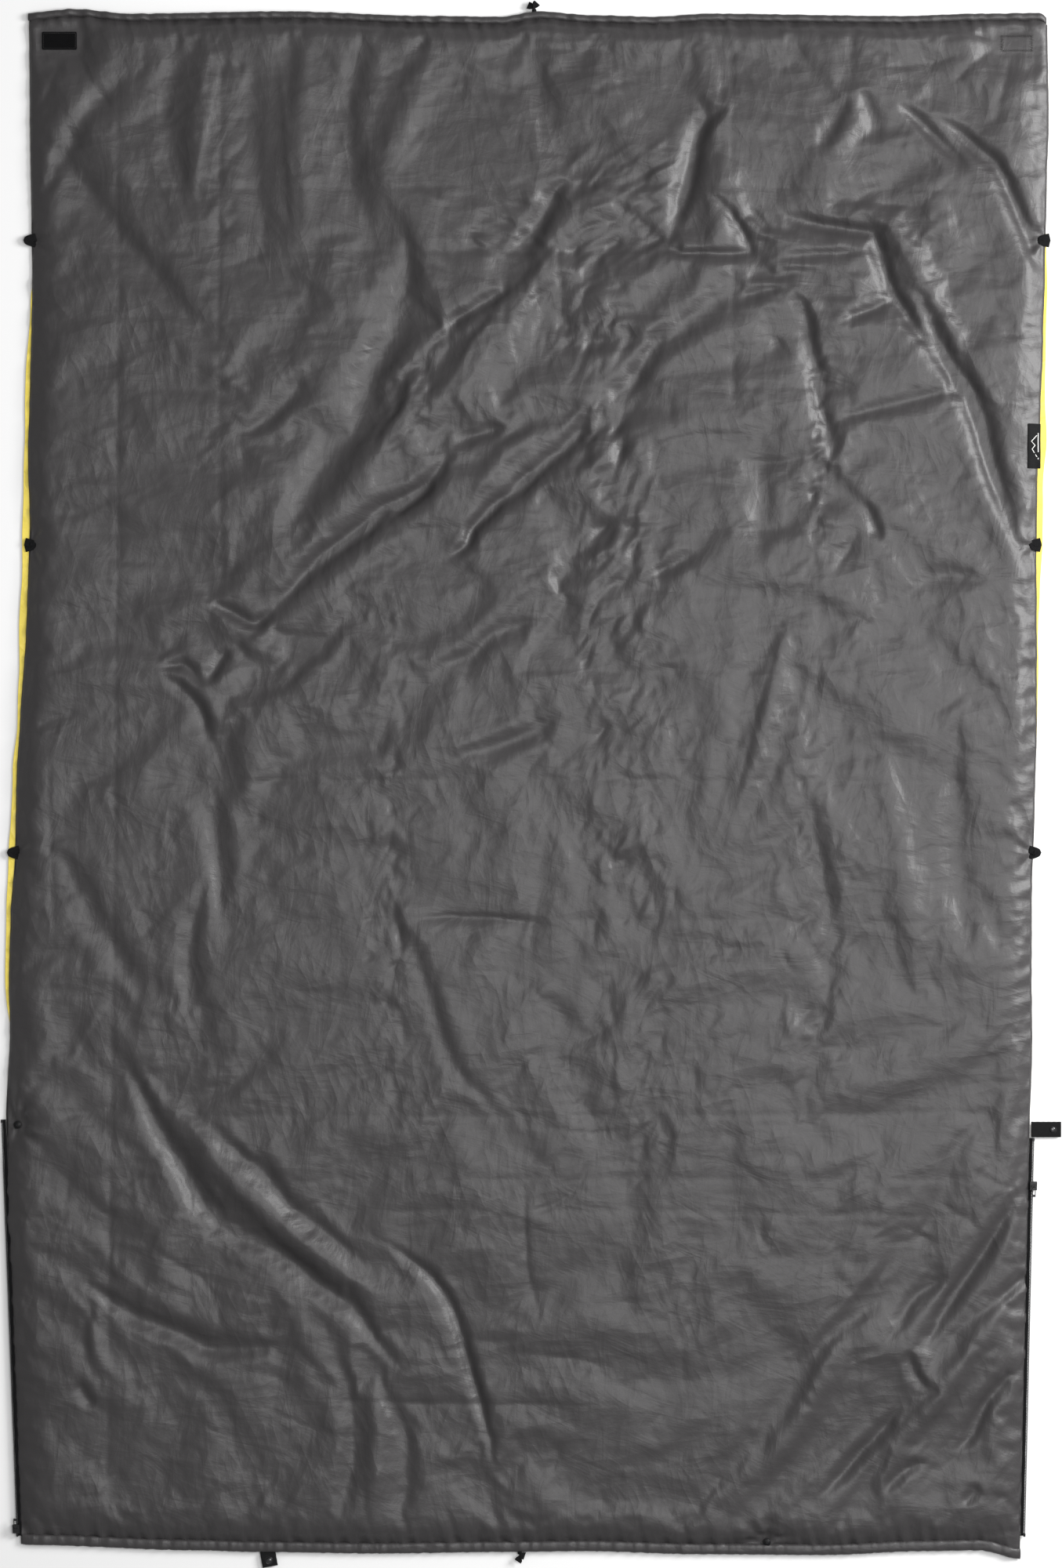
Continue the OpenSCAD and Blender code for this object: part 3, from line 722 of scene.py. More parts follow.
# %% Creases from the bag, straight across and along the cloth
folds([
    (-1.2, 5, 5, (-53.5, 97), (-53.5, 40), (-54, -20), (-55, -95)),
    (-1.2, 5, 6, (-40, 96), (-40.5, 61), (-40, 25)),
    (-1.0, 5, 5, (26, 96), (26, 57), (26, 49)),
    (-1.0, 5, 6, (-65, 77.5), (-30, 77), (10, 77.5), (64, 76.5)),
    (-1.0, 5, 6, (-65, 68.5), (-20, 69), (30, 68.5), (64, 69)),
    (-0.9, 5, 6, (-60, 60.5), (0, 60.5), (60, 61)),
    (-0.9, 5, 6, (-62, 51), (0, 51), (62, 51)),
    (-0.9, 5, 6, (-62, 32.5), (0, 33), (62, 32.5)),
    (-0.9, 5, 6, (-63, 15), (0, 14.5), (62, 15)),
    (-1.1, 5, 6, (-64, 0), (0, 0.5), (63, 0)),
    (-0.9, 5, 6, (-64, -18), (0, -17.5), (63, -18)),
    (-1.0, 5, 6, (-64, -42.5), (0, -43), (62, -42.5)),
    (-0.9, 5, 6, (-60, -51), (0, -51), (60, -51)),
    (-0.8, 5, 6, (-60, -55.5), (0, -55), (60, -56)),
], crisp=True, taper=0.05)


# %% Scattered creases, by part of the quilt
def scatter(count, centre, half, direction, spread, length, height, width, seed):
    """Crisp creases round a centre. half is how far they spread, direction and spread are
    angles in degrees, length, height and width are (least, most)."""
    random = np.random.default_rng(seed)
    for _ in range(count):
        x = centre[0] + half[0] * random.uniform(-1, 1)
        y = centre[1] + half[1] * random.uniform(-1, 1)
        turn = math.radians(direction + spread * random.normal())
        reach = random.uniform(*length) / 2
        bow = reach * random.uniform(-0.25, 0.25)
        dx, dy = math.cos(turn), math.sin(turn)
        start, end = (x - reach * dx, y - reach * dy), (x + reach * dx, y + reach * dy)
        points = [start, (x - bow * dy, y + bow * dx), end]
        tall = random.uniform(*height) * (1 if random.random() < 0.4 else -1)
        near, far = random.uniform(*width), 2.2 * random.uniform(*width)
        stroke(points, tall * MM, near * MM, far * MM, 0.5, True)


SHORT, HAND, LONG = (0.02, 0.05), (0.035, 0.09), (0.06, 0.15)
FAINT, PLAIN, DEEP = (0.5, 1.2), (0.8, 1.8), (1.2, 2.6)
NARROW, WIDE = (2.5, 4.5), (4.0, 7.0)
places = (
    (90, (0.11, 0.30), (0.035, 0.14), 62, 12, HAND, DEEP, WIDE),
    (110, (0.11, 0.12), (0.045, 0.24), 68, 22, HAND, PLAIN, NARROW),
    (40, (-0.06, 0.72), (0.07, 0.05), -30, 12, HAND, DEEP, NARROW),
    (60, (0.115, 0.75), (0.06, 0.08), 38, 12, HAND, DEEP, NARROW),
    (50, (0.05, 0.61), (0.07, 0.07), 68, 25, HAND, DEEP, NARROW),
    (50, (0.09, 0.50), (0.04, 0.10), 66, 14, HAND, DEEP, WIDE),
    (40, (-0.15, 0.50), (0.05, 0.08), 62, 15, HAND, PLAIN, NARROW),
    (70, (-0.19, 0.15), (0.03, 0.42), 80, 30, SHORT, PLAIN, NARROW),
    (120, (0.37, 0.05), (0.05, 0.50), 80, 26, HAND, PLAIN, NARROW),
    (60, (0.372, 0.44), (0.012, 0.12), 78, 22, SHORT, DEEP, NARROW),
    (60, (-0.18, -0.15), (0.018, 0.28), 82, 22, HAND, PLAIN, NARROW),
    (60, (0.16, 0.02), (0.03, 0.50), 85, 20, HAND, PLAIN, NARROW),
    (70, (0.12, -0.25), (0.06, 0.28), 75, 30, HAND, PLAIN, NARROW),
    (60, (-0.40, 0.70), (0.03, 0.30), 60, 40, SHORT, PLAIN, NARROW),
    (120, (0.0, 0.62), (0.6, 0.30), 10, 35, LONG, FAINT, NARROW),
    (120, (0.0, 0.90), (0.6, 0.08), 80, 30, SHORT, FAINT, NARROW),
    (170, (0.0, -0.15), (0.62, 0.45), 5, 45, LONG, FAINT, NARROW),
    (150, (0.0, -0.72), (0.62, 0.24), 0, 50, HAND, FAINT, NARROW),
    (50, (0.40, 0.66), (0.16, 0.12), -30, 40, HAND, PLAIN, NARROW),
    (60, (0.50, -0.72), (0.13, 0.20), 45, 25, HAND, PLAIN, NARROW),
    (60, (-0.45, -0.62), (0.16, 0.16), -35, 20, HAND, PLAIN, NARROW),
    (60, (0.0, -0.93), (0.62, 0.04), 80, 35, SHORT, PLAIN, NARROW),
)
for seed, place in enumerate(places):
    scatter(*place, seed + 11)
print("creases done, relief", round(relief.min() / MM, 1), "to", round(relief.max() / MM, 1), "mm")

# %% [markdown]
# ## Crumple and puckers
#
# Between the creases the cloth is never smooth: it was crushed in its bag, so it is made of
# small facets that tilt this way and that. Noise would look like water, so the facets come
# from cells, whose borders are the crease lines. At the seams the stitches draw the cloth up
# into short puckers at right angles to the edge.

# %% Crumple facets, strong in some parts and weak in others
crushed = 0.35 + 0.9 * smooth_step(1.6 * blotches(0.14, 7) - 0.4)
relief += crushed * crumple(0.042, 0.7 * MM, 21, 1.7, 1.1)
relief += crushed * crumple(0.021, 0.60 * MM, 22, 1.5, 0.2)
relief += crushed * crumple(0.012, 0.32 * MM, 23, 1.4, -0.5)


# %% Puckers along the seams, round the snaps and by the loops
def pucker_wave(where, spacing, seed):
    """An uneven wave along a seam, from -1 to 1."""
    random = np.random.default_rng(seed)
    wave = np.zeros_like(where)
    for _ in range(7):
        wave += np.sin(2 * math.pi * where / (spacing * random.uniform(0.6, 2.0)) + random.uniform(0, 7))
    return wave / 3.2


near_side = np.exp(-np.maximum(from_left, 0) / 0.016)
relief += 1.5 * MM * near_side * pucker_wave(gy + 0.3 * gx, 0.026, 31)
near_side = np.exp(-np.maximum(from_right, 0) / 0.016)
relief += 1.5 * MM * near_side * pucker_wave(gy - 0.3 * gx, 0.026, 32)
near_head = np.exp(-np.maximum(from_head, 0) / 0.014)
relief += 1.6 * MM * near_head * pucker_wave(gx + 0.2 * gy, 0.020, 33)
near_foot = np.exp(-np.maximum(from_foot, 0) / 0.020)
relief += 1.8 * MM * near_foot * pucker_wave(gx + 0.3 * gy, 0.016, 34)


def drawn_in(x, y, depth, reach, rays, seed):
    """Cloth drawn down to a point, with puckers that run out from it like rays."""
    away = np.hypot(gx - x, gy - y)
    angle = np.arctan2(gy - y, gx - x)
    ray = np.cos(rays * angle + seed) + 0.6 * np.cos((rays + 3) * angle + 2 * seed)
    fade = np.exp(-((away / reach) ** 2))
    return -depth * fade + 0.45 * depth * ray * fade * smooth_step(away / (0.3 * reach))


for stud, depth in (("side_snap_stud", 8), ("foot_snap_stud", 6)):
    low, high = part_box(stud)
    relief += drawn_in((low.x + high.x) / 2, (low.y + high.y) / 2, depth * MM, 0.030, 7, depth)
for loop, side in (("upper_loop", LEFT), ("mid_loop", LEFT), ("lower_loop", LEFT), ("upper_loop", RIGHT),
                   ("mid_loop", RIGHT), ("lower_loop", RIGHT)):
    low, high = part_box(loop + ("_left" if side == LEFT else "_right"))
    y = (low.y + high.y) / 2
    relief += drawn_in(float(seam_x(side, y)), y, 3.5 * MM, 0.028, 6, y * 10)


def settle(node, height, around, margin=0.004):
    """Presses the cloth down to a height under a hard piece and a margin round it, so that
    the piece lies on it."""
    low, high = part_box(node)
    out_x = np.maximum(np.maximum(low.x - gx, gx - high.x), 0)
    out_y = np.maximum(np.maximum(low.y - gy, gy - high.y), 0)
    near = 1 - smooth_step((np.hypot(out_x, out_y) - margin) / around)
    return relief * (1 - near) + np.minimum(relief, height) * near


THIN_AT_SEAM, THIN_INSIDE, TALLEST = 2.4 * MM, 5.8 * MM, 24.5 * MM
thinnest = THIN_AT_SEAM + (THIN_INSIDE - THIN_AT_SEAM) * smooth_step((rise - 0.5) / 0.5)
relief = np.clip(relief, thinnest, TALLEST)
for node in ("hook_patch", "side_snap_stud", "foot_snap_stud"):
    relief = settle(node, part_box(node)[0].z - 0.0004, 0.012)
relief = settle("loop_patch", 7.0 * MM, 0.006, 0.001)
print("relief", round(relief.min() / MM, 1), "to", round(relief.max() / MM, 1), "mm")

# %% [markdown]
# ## Finishes
#
# Every finish is a small node tree built by a function. The weave, the nap and the fine
# creases are bump, because they are too small for mesh. A cloth that bends takes its pattern
# from a map of its own flat size in metres, so that the weave stays on the threads when the
# quilt is folded. Hard pieces take theirs from their own coordinates.


# %% Helpers that build a finish
class Finish:
    """A node tree with the few moves that all the finishes here need."""

    def __init__(self, name, colour, roughness, flat_map=False, **sockets):
        self.material = bpy.data.materials.new(name)
        self.material.use_nodes = True
        self.tree = self.material.node_tree
        self.shader = self.tree.nodes["Principled BSDF"]
        self.colour = colour
        self.shader.inputs["Base Color"].default_value = (*colour, 1)
        self.shader.inputs["Roughness"].default_value = roughness
        for socket, value in sockets.items():
            self.shader.inputs[socket.replace("_", " ")].default_value = value
        place = self.tree.nodes.new("ShaderNodeTexCoord")
        self.place = place.outputs["UV" if flat_map else "Object"]
        self.bump = None

    def node(self, kind, inputs, **settings):
        made = self.tree.nodes.new("ShaderNode" + kind)
        for key, value in settings.items():
            setattr(made, key, value)
        for key, value in inputs.items():
            if isinstance(value, bpy.types.NodeSocket):
                self.tree.links.new(value, made.inputs[key])
            else:
                made.inputs[key].default_value = value
        return made

    def stretched(self, scale, turn=0.0):
        """The coordinates turned about Z and then scaled, as repeats to the metre."""
        turned = self.node("Mapping", {"Vector": self.place, "Rotation": (0, 0, turn)})
        return self.node("Mapping", {"Vector": turned.outputs[0], "Scale": scale}).outputs[0]

    def noise(self, scale, detail=3.0, turn=0.0, distortion=0.0):
        inputs = {"Vector": self.stretched(scale, turn), "Scale": 1.0}
        inputs.update({"Detail": detail, "Distortion": distortion})
        return self.node("TexNoise", inputs).outputs["Fac"]

    def cells(self, scale, turn=0.0, feature="DISTANCE_TO_EDGE"):
        bent = self.node("TexNoise", {"Vector": self.stretched(scale, turn), "Scale": 0.7, "Detail": 2.0})
        inputs = {0: self.stretched(scale, turn), 1: bent.outputs["Color"]}
        where = self.node("VectorMath", inputs, operation="ADD").outputs[0]
        return self.node("TexVoronoi", {"Vector": where, "Scale": 1.0}, feature=feature).outputs["Distance"]

    def facets(self, scale, turn, patch):
        """Small facets between creases, that come and go in patches."""
        tops = self.cells(scale, turn, "F1")
        where = self.ramp(self.noise((patch,) * 3, 2, turn), 0.40, 0.60)
        return self.node("Math", {0: tops, 1: where}, operation="MULTIPLY").outputs[0]

    def waves(self, scale, direction="X", turn=0.0):
        inputs = {"Vector": self.stretched((scale,) * 3, turn), "Scale": 1.0}
        inputs.update({"Distortion": 0.3, "Detail": 1.0})
        return self.node("TexWave", inputs, bands_direction=direction).outputs["Fac"]

    def ramp(self, value, low, high, to_low=0.0, to_high=1.0):
        inputs = {"Value": value, "From Min": low, "From Max": high, "To Min": to_low, "To Max": to_high}
        return self.node("MapRange", inputs).outputs[0]

    def tint(self, value, dark, light):
        """Colours the finish from dark to light shares of its own colour as value goes 0 to 1."""
        ends = [tuple(min(1, c * k) for c in self.colour) + (1,) for k in (dark, light)]
        mixed = self.node("Mix", {"Factor": value, 6: ends[0], 7: ends[1]}, data_type="RGBA")
        self.tree.links.new(mixed.outputs[2], self.shader.inputs["Base Color"])
        return self

    def relief(self, height, depth, strength=1.0):
        """Adds a layer of bump whose full height is depth, in metres."""
        inputs = {"Height": height, "Distance": depth, "Strength": strength}
        if self.bump:
            inputs["Normal"] = self.bump
        self.bump = self.node("Bump", inputs).outputs[0]
        self.tree.links.new(self.bump, self.shader.inputs["Normal"])
        return self

    def on(self, *pieces, slot=None):
        for piece in pieces:
            piece.data.materials.clear()
            piece.data.materials.append(self.material)
        return self


# %% Shell: dark satin taffeta
shell_finish = Finish("shell_taffeta", (0.0365, 0.0340, 0.0350), 0.45, flat_map=True, Specular_IOR_Level=0.50,
                      Sheen_Weight=0.05, Sheen_Roughness=0.4)
shell_finish.tint(shell_finish.noise((9, 9, 9), 4), 0.90, 1.10)
shell_finish.relief(shell_finish.noise((11, 30, 20), 4, 0.25, 1.0), 0.0013)
shell_finish.relief(shell_finish.noise((36, 14, 20), 4, 0.1, 1.0), 0.0011)
for turn, scale, patch in ((0.25, (46, 13, 20), 7), (-0.35, (60, 20, 20), 9), (1.4, (50, 14, 20), 8)):
    shell_finish.relief(shell_finish.facets(scale, turn, patch), 0.0011)
shell_finish.relief(shell_finish.noise((120, 200, 160), 4, 0.2, 1.0), 0.00016)
shell_finish.relief(shell_finish.waves(330, "Y"), 0.00003, 0.5)
shell_finish.relief(shell_finish.waves(450, "X"), 0.00002, 0.5)

# %% Lining: yellow taffeta, a little brighter and smoother
lining_finish = Finish("lining_taffeta", (0.88, 0.70, 0.10), 0.42, flat_map=True, Sheen_Weight=0.15)
lining_finish.tint(lining_finish.noise((12, 12, 12), 4), 0.90, 1.06)
lining_finish.relief(lining_finish.ramp(lining_finish.cells((24, 40, 30), 0.2), 0, 0.12), 0.0004)
lining_finish.relief(lining_finish.noise((50, 70, 60), 5, 0.4, 0.6), 0.0012)
lining_finish.relief(lining_finish.waves(330, "Y"), 0.00004, 0.5)

# %% Filling: white fibre
batting_finish = Finish("fibre_fill", (0.82, 0.82, 0.80), 0.9, flat_map=True, Sheen_Weight=0.4)
batting_finish.tint(batting_finish.noise((220, 160, 200), 6), 0.86, 1.04)
batting_finish.relief(batting_finish.noise((500, 260, 400), 6, 0.6, 1.5), 0.0008)

# %% [markdown]
# ## The shell
#
# The shell is one cloth, so it is one mesh: a grid whose columns run from seam to seam and
# whose rows run from hem to hem, lifted by the height map. A plane with a displace modifier
# could do it too, but then the outline would be straight. Two more rows at each seam turn
# under, as the seam allowance does.


# %% The shell as one sheet from seam to seam
shell_x, shell_y = cloth_grid(0.0032)
shell_z = height_at(shell_x, shell_y)
moved_x = shell_x + height_at(shell_x, shell_y, slide_x)
moved_y = shell_y + height_at(shell_x, shell_y, slide_y)
shell_points = np.stack([moved_x, moved_y, shell_z], -1)
lips = []
for column, side in ((0, 1), (-1, -1)):
    lip = shell_points[:, column].copy()
    lip[:, 0] += side * 0.0010
    lip[:, 2] = 2.0 * MM
    tuck = lip.copy()
    tuck[:, 0] += side * 0.006
    tuck[:, 2] = 1.8 * MM
    lips.append((lip[:, None], tuck[:, None]))
shell_points = np.hstack([lips[0][1], lips[0][0], shell_points, lips[1][0], lips[1][1]])
shell = keep_flat_map(grid_piece("shell", shell_points))
shell_finish.on(shell, slot="shell_cloth")
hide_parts("shell_left", "shell_right")
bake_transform(shell)
print("shell:", len(shell.data.vertices), "points")

# %% [markdown]
# ## The lining and the filling
#
# The lining lies on the floor with only faint ripples. On part of each side it rolls out past
# the seam and shows as a yellow line. The filling is a soft slab that stays a little under the
# shell and ends short of the seams, where the two cloths are sewn together.


# %% The lining, flat on the floor and rolled out at the sides
rolls = {
    LEFT: [(-33, 0), (-29, 3), (-23, 2), (-17, 3), (-11, 2), (-5, 0), (1, -1), (7, -5), (13, -2), (19, 0),
           (25, 0), (32, 3), (38, 0), (44, 0), (50, 1), (56, 2), (62, 2), (66, 0)],
    RIGHT: [(-5, 0), (1, -2), (13, -2), (19, -3), (25, 0), (32, 2), (38, 4), (44, 6), (50, 2), (56, 2),
            (62, 1), (68, 2), (74, 0)],
}


def lining_x(side, y):
    """The lining's edge: tucked behind the seam, or out past it where it rolls out."""
    plain = side * np.interp(y, *shell_edges[side])
    rolled = side * np.interp(y, *lining_edges[side])
    places, more = np.array(rolls[side], float).T
    out = np.maximum(side * (rolled - plain) + MM * smooth_between(y, places * 0.01, more), 0)
    ripple = 0.0009 * np.sin(41 * y + side) * smooth_step(out / 0.003)
    return seam_x(side, y) + side * (out - 0.0012 * (1 - smooth_step(out / 0.002)) + ripple)


lining_grid_x, lining_grid_y = cloth_grid(0.0060, head_in=0.002, foot_in=0.004, edges=lining_x)
in_left = lining_grid_x - lining_x(LEFT, lining_grid_y)
in_right = lining_x(RIGHT, lining_grid_y) - lining_grid_x
edge_in = np.minimum(in_left, in_right)
ripples = 0.5 + 0.5 * blotches(0.05, 41) + 0.35 * blotches(0.02, 42)
lining_z = 0.9 * MM * height_at(lining_grid_x, lining_grid_y, ripples)
lining_z += 1.1 * MM * (1 - smooth_step(edge_in / 0.012)) * (1 - 0.4 * smooth_step(1 - edge_in / 0.003))
lining = keep_flat_map(grid_piece("lining", np.stack([lining_grid_x, lining_grid_y, lining_z], -1)[:, ::-1]))
lining_finish.on(lining, slot="lining_cloth")
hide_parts("lining_left", "lining_right")
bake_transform(lining)
print("lining:", len(lining.data.vertices), "points")

# %% The filling, a soft slab between the two cloths
fill_x, fill_y = cloth_grid(0.008, inset=0.016, head_in=0.024, foot_in=0.026)
under = relief.copy()
for _ in range(4):
    for axis in (0, 1):
        under = np.minimum(under, np.minimum(np.roll(under, 1, axis), np.roll(under, -1, axis)))
fill_top = np.maximum(height_at(fill_x, fill_y, under) - 1.2 * MM, 2.4 * MM)
border = np.zeros(fill_x.shape, bool)
border[0] = border[-1] = True
border[:, 0] = border[:, -1] = True
fill_top[border] = 2.3 * MM
fill_low = 2.2 * MM + 2.0 * MM * np.exp(-(((fill_x - 0.02) / 0.035) ** 2))
fill_low = np.minimum(fill_low, fill_top - 0.1 * MM)
slab = bpy.data.meshes.new("filling")
count = fill_x.size
index = np.arange(count).reshape(fill_x.shape)
upper = np.stack([index[:-1, :-1], index[:-1, 1:], index[1:, 1:], index[1:, :-1]], -1).reshape(-1, 4)
rim = np.concatenate([index[0, :-1], index[:-1, -1], index[-1, :0:-1], index[:0:-1, 0]])
walls = np.stack([rim, rim + count, np.roll(rim, -1) + count, np.roll(rim, -1)], -1)
slab_points = np.concatenate([np.stack([fill_x, fill_y, z], -1).reshape(-1, 3) for z in (fill_top, fill_low)])
slab.from_pydata(slab_points.tolist(), [], np.concatenate([upper, upper[:, ::-1] + count, walls]).tolist())
slab.shade_smooth()
filling = bpy.data.objects.new("filling", slab)
scene.collection.objects.link(filling)
keep_flat_map(filling)
batting_finish.on(filling, slot="batting")
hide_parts("batting_left", "batting_right")
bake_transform(filling)
print("filling:", len(slab.vertices), "points")

# %% [markdown]
# ## Hems
#
# At the head and the foot the shell is rolled over and stitched, which makes a soft tube about
# a finger wide. The head's tube is nearly flat. The foot's has an elastic in it, so its cloth is
# gathered into many small puckers. Each tube is a ring of points carried along the edge, and
# its roundness changes with an uneven wave, as gathered cloth does.


# %% A rolled hem along an edge
def hem_tube(name, start, end, edge, width, tall, gather, spacing, seed):
    """A soft tube along y = edge(x). width and tall are its size, gather how much it puckers."""
    x = np.arange(start, end, 0.0030)
    around = np.linspace(0, 2 * math.pi, 14, endpoint=False)
    c, s = np.cos(around)[None, :], np.sin(around)[None, :]
    wave = pucker_wave(x, spacing, seed)[:, None]
    second = pucker_wave(x + 0.37 * spacing, spacing * 0.55, seed + 1)[:, None]
    slant = pucker_wave(x, spacing * 1.7, seed + 2)[:, None]
    reach = np.clip((x - start) / 0.012, 0, 1) * np.clip((end - x) / 0.012, 0, 1)
    ends = (0.55 + 0.45 * smooth_step(reach))[:, None]
    half = width / 2 * (1 + 0.06 * gather * wave)
    lift = tall / 2 * ends * (1 + 0.22 * gather * wave + 0.12 * gather * second * s)
    sign_c, sign_s = np.sign(c) * np.abs(c) ** 0.8, np.sign(s) * np.abs(s) ** 0.8
    inward = -1 if edge(np.zeros(1))[0] > 0 else 1
    middle = edge(x)[:, None] + inward * width / 2
    points = np.stack([
        x[:, None] + 0.0012 * gather * slant * s + 0 * c,
        middle + half * sign_c + 0.0006 * gather * second,
        0.0006 + lift + lift * sign_s + 0 * c,
    ], -1)
    return keep_flat_map(grid_piece(name, points, ring=True))


head_start = float(seam_x(LEFT, HEAD_Y)) - 0.001
head_end = float(seam_x(RIGHT, HEAD_Y))
head_hem = hem_tube("head_hem", head_start, head_end, head_y, 0.0095, 0.0082, 0.5, 0.030, 51)
foot_start = float(seam_x(LEFT, FOOT_Y)) + 0.001
foot_end = float(seam_x(RIGHT, FOOT_Y)) + 0.0002
foot_hem = hem_tube("foot_hem", foot_start, foot_end, foot_y, 0.0140, 0.0068, 0.4, 0.016, 52)
shell_finish.on(head_hem, foot_hem, slot="shell_cloth")
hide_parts("head_hem_left", "head_hem_right")
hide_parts("foot_hem_left", "foot_hem_right")
for hem in (head_hem, foot_hem):
    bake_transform(hem)
    print(hem.name + ":", len(hem.data.vertices), "points")


# %% The elastic inside the foot hem, with its braid
def braided_cord(name, path, radius, strands=8, pitch=0.006):
    """A round cord whose surface waves as a braid does."""
    gaps = np.linalg.norm(np.diff(path, axis=0), axis=1)
    run = np.concatenate([[0], np.cumsum(gaps)])
    stations = np.arange(0, run[-1], 0.0025)
    centre = np.stack([np.interp(stations, run, path[:, k]) for k in range(3)], -1)
    around = np.linspace(0, 2 * math.pi, 12, endpoint=False)
    braid = np.sin(strands / 2 * around[None, :] + 2 * math.pi * stations[:, None] / pitch)
    r = radius * (1 + 0.06 * braid)
    points = centre[:, None, :] + np.stack([0 * r, r * np.cos(around), r * np.sin(around)], -1)
    return keep_flat_map(grid_piece(name, points, ring=True))


elastic_low, elastic_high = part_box("foot_elastic_left")
elastic_radius = (elastic_high.z - elastic_low.z) / 2 * 0.95
elastic_x = np.arange(foot_start + 0.006, foot_end - 0.006, 0.01)
elastic_y = foot_y(elastic_x) + 0.007
elastic_z = np.full_like(elastic_x, 0.0045)
elastic_path = np.stack([elastic_x, elastic_y, elastic_z], -1)
elastic = braided_cord("foot_elastic", elastic_path, elastic_radius)
elastic_finish = Finish("elastic_sheath", (0.03, 0.03, 0.032), 0.7, flat_map=True)
elastic_finish.tint(elastic_finish.noise((300, 300, 300)), 0.8, 1.4)
elastic_finish.relief(elastic_finish.waves(400, "DIAGONAL"), 0.0002)
elastic_finish.on(elastic, slot="elastic")
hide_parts("foot_elastic_left", "foot_elastic_right")
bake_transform(elastic)
print("elastic:", round(float(elastic_x[-1] - elastic_x[0]), 3), "m long")

# %% [markdown]
# ## Stitches
#
# Each stitch is a short thread that dips into the cloth at both ends. They're many and all
# alike, so one function sets a row of them along a line and joins them in one mesh. A seam
# that's sewn through puckered cloth isn't even, so each stitch is turned and sunk a little.


# %% A row of stitches along a line
def stitch_row(line, length, gap, height, seed, thick=0.00022, across=0.0):
    """Corners and faces of the stitches along a line of (x, y) points. height(x, y) is the
    cloth's height. across turns them sideways, for a zigzag row."""
    random = np.random.default_rng(seed)
    p = np.array(line, float)
    run = np.concatenate([[0], np.cumsum(np.hypot(*np.diff(p, axis=0).T))])
    starts = np.arange(gap / 2, run[-1] - length, length + gap)
    points, faces = [], []
    profile = np.array([(0, -1), (0.2, 0.4), (0.5, 0.9), (0.8, 0.4), (1, -1)])
    for k, s in enumerate(starts):
        a = np.array([np.interp(s, run, p[:, i]) for i in (0, 1)])
        b = np.array([np.interp(s + length, run, p[:, i]) for i in (0, 1)])
        d = (b - a) / max(np.linalg.norm(b - a), 1e-9)
        n = np.array([-d[1], d[0]])
        lean = across * (1 if k % 2 else -1) + random.normal(0, 0.12) * length
        base = len(points)
        for t, lift in profile:
            at = a + (b - a) * t + n * lean * (t - 0.5)
            z = float(height(np.array([at[0]]), np.array([at[1]]))[0]) + lift * thick
            for u, w in ((-1, 0), (0, 1), (1, 0), (0, -1)):
                points.append((at[0] + n[0] * u * thick, at[1] + n[1] * u * thick, z + w * thick))
        for r in range(len(profile) - 1):
            for c in range(4):
                i, j = base + 4 * r + c, base + 4 * r + (c + 1) % 4
                faces.append((i, j, j + 4, i + 4))
        faces.append((base + 3, base + 2, base + 1, base))
        last = base + 4 * (len(profile) - 1)
        faces.append((last, last + 1, last + 2, last + 3))
    return points, faces


def joined(name, parts):
    """One mesh from several lists of (points, faces)."""
    points, faces = [], []
    for some_points, some_faces in parts:
        start = len(points)
        points += some_points
        faces += [tuple(i + start for i in face) for face in some_faces]
    mesh = bpy.data.meshes.new(name)
    mesh.from_pydata([tuple(map(float, p)) for p in points], [], faces)
    mesh.shade_smooth()
    piece = bpy.data.objects.new(name, mesh)
    scene.collection.objects.link(piece)
    return piece


def edge_line(edge, start, end, inward, step=0.01):
    x = np.arange(start, end, step)
    return np.stack([x, edge(x) + inward], -1)


thread_finish = Finish("dark_thread", (0.045, 0.042, 0.042), 0.6)
thread_finish.tint(thread_finish.noise((900, 900, 900)), 0.8, 1.3)
thread_finish.relief(thread_finish.waves(2500, "DIAGONAL"), 0.00008)
hem_rows = []
for edge, start, end, inward, seed in ((head_y, head_start, head_end, -HEM_SEAM - 0.001, 61),
                                       (foot_y, foot_start, foot_end, FOOT_SEAM + 0.0015, 62)):
    line = edge_line(edge, start + 0.004, end - 0.004, inward)
    hem_rows.append(stitch_row(line, 0.0028, 0.0009, height_at, seed))
hem_stitches = keep_flat_map(joined("hem_stitches", hem_rows))
thread_finish.on(hem_stitches, slot="shell_cloth")
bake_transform(hem_stitches)
print("hem stitches:", len(hem_stitches.data.polygons) // 18)

# %% [markdown]
# ## Patches
#
# A hook patch on the left corner meets a loop patch under the right corner, so that the quilt
# can be closed round the neck. The hook side has hundreds of tiny bent hooks in rows; the loop
# side is a dense pile, and from above only the zigzag stitches that hold it show.


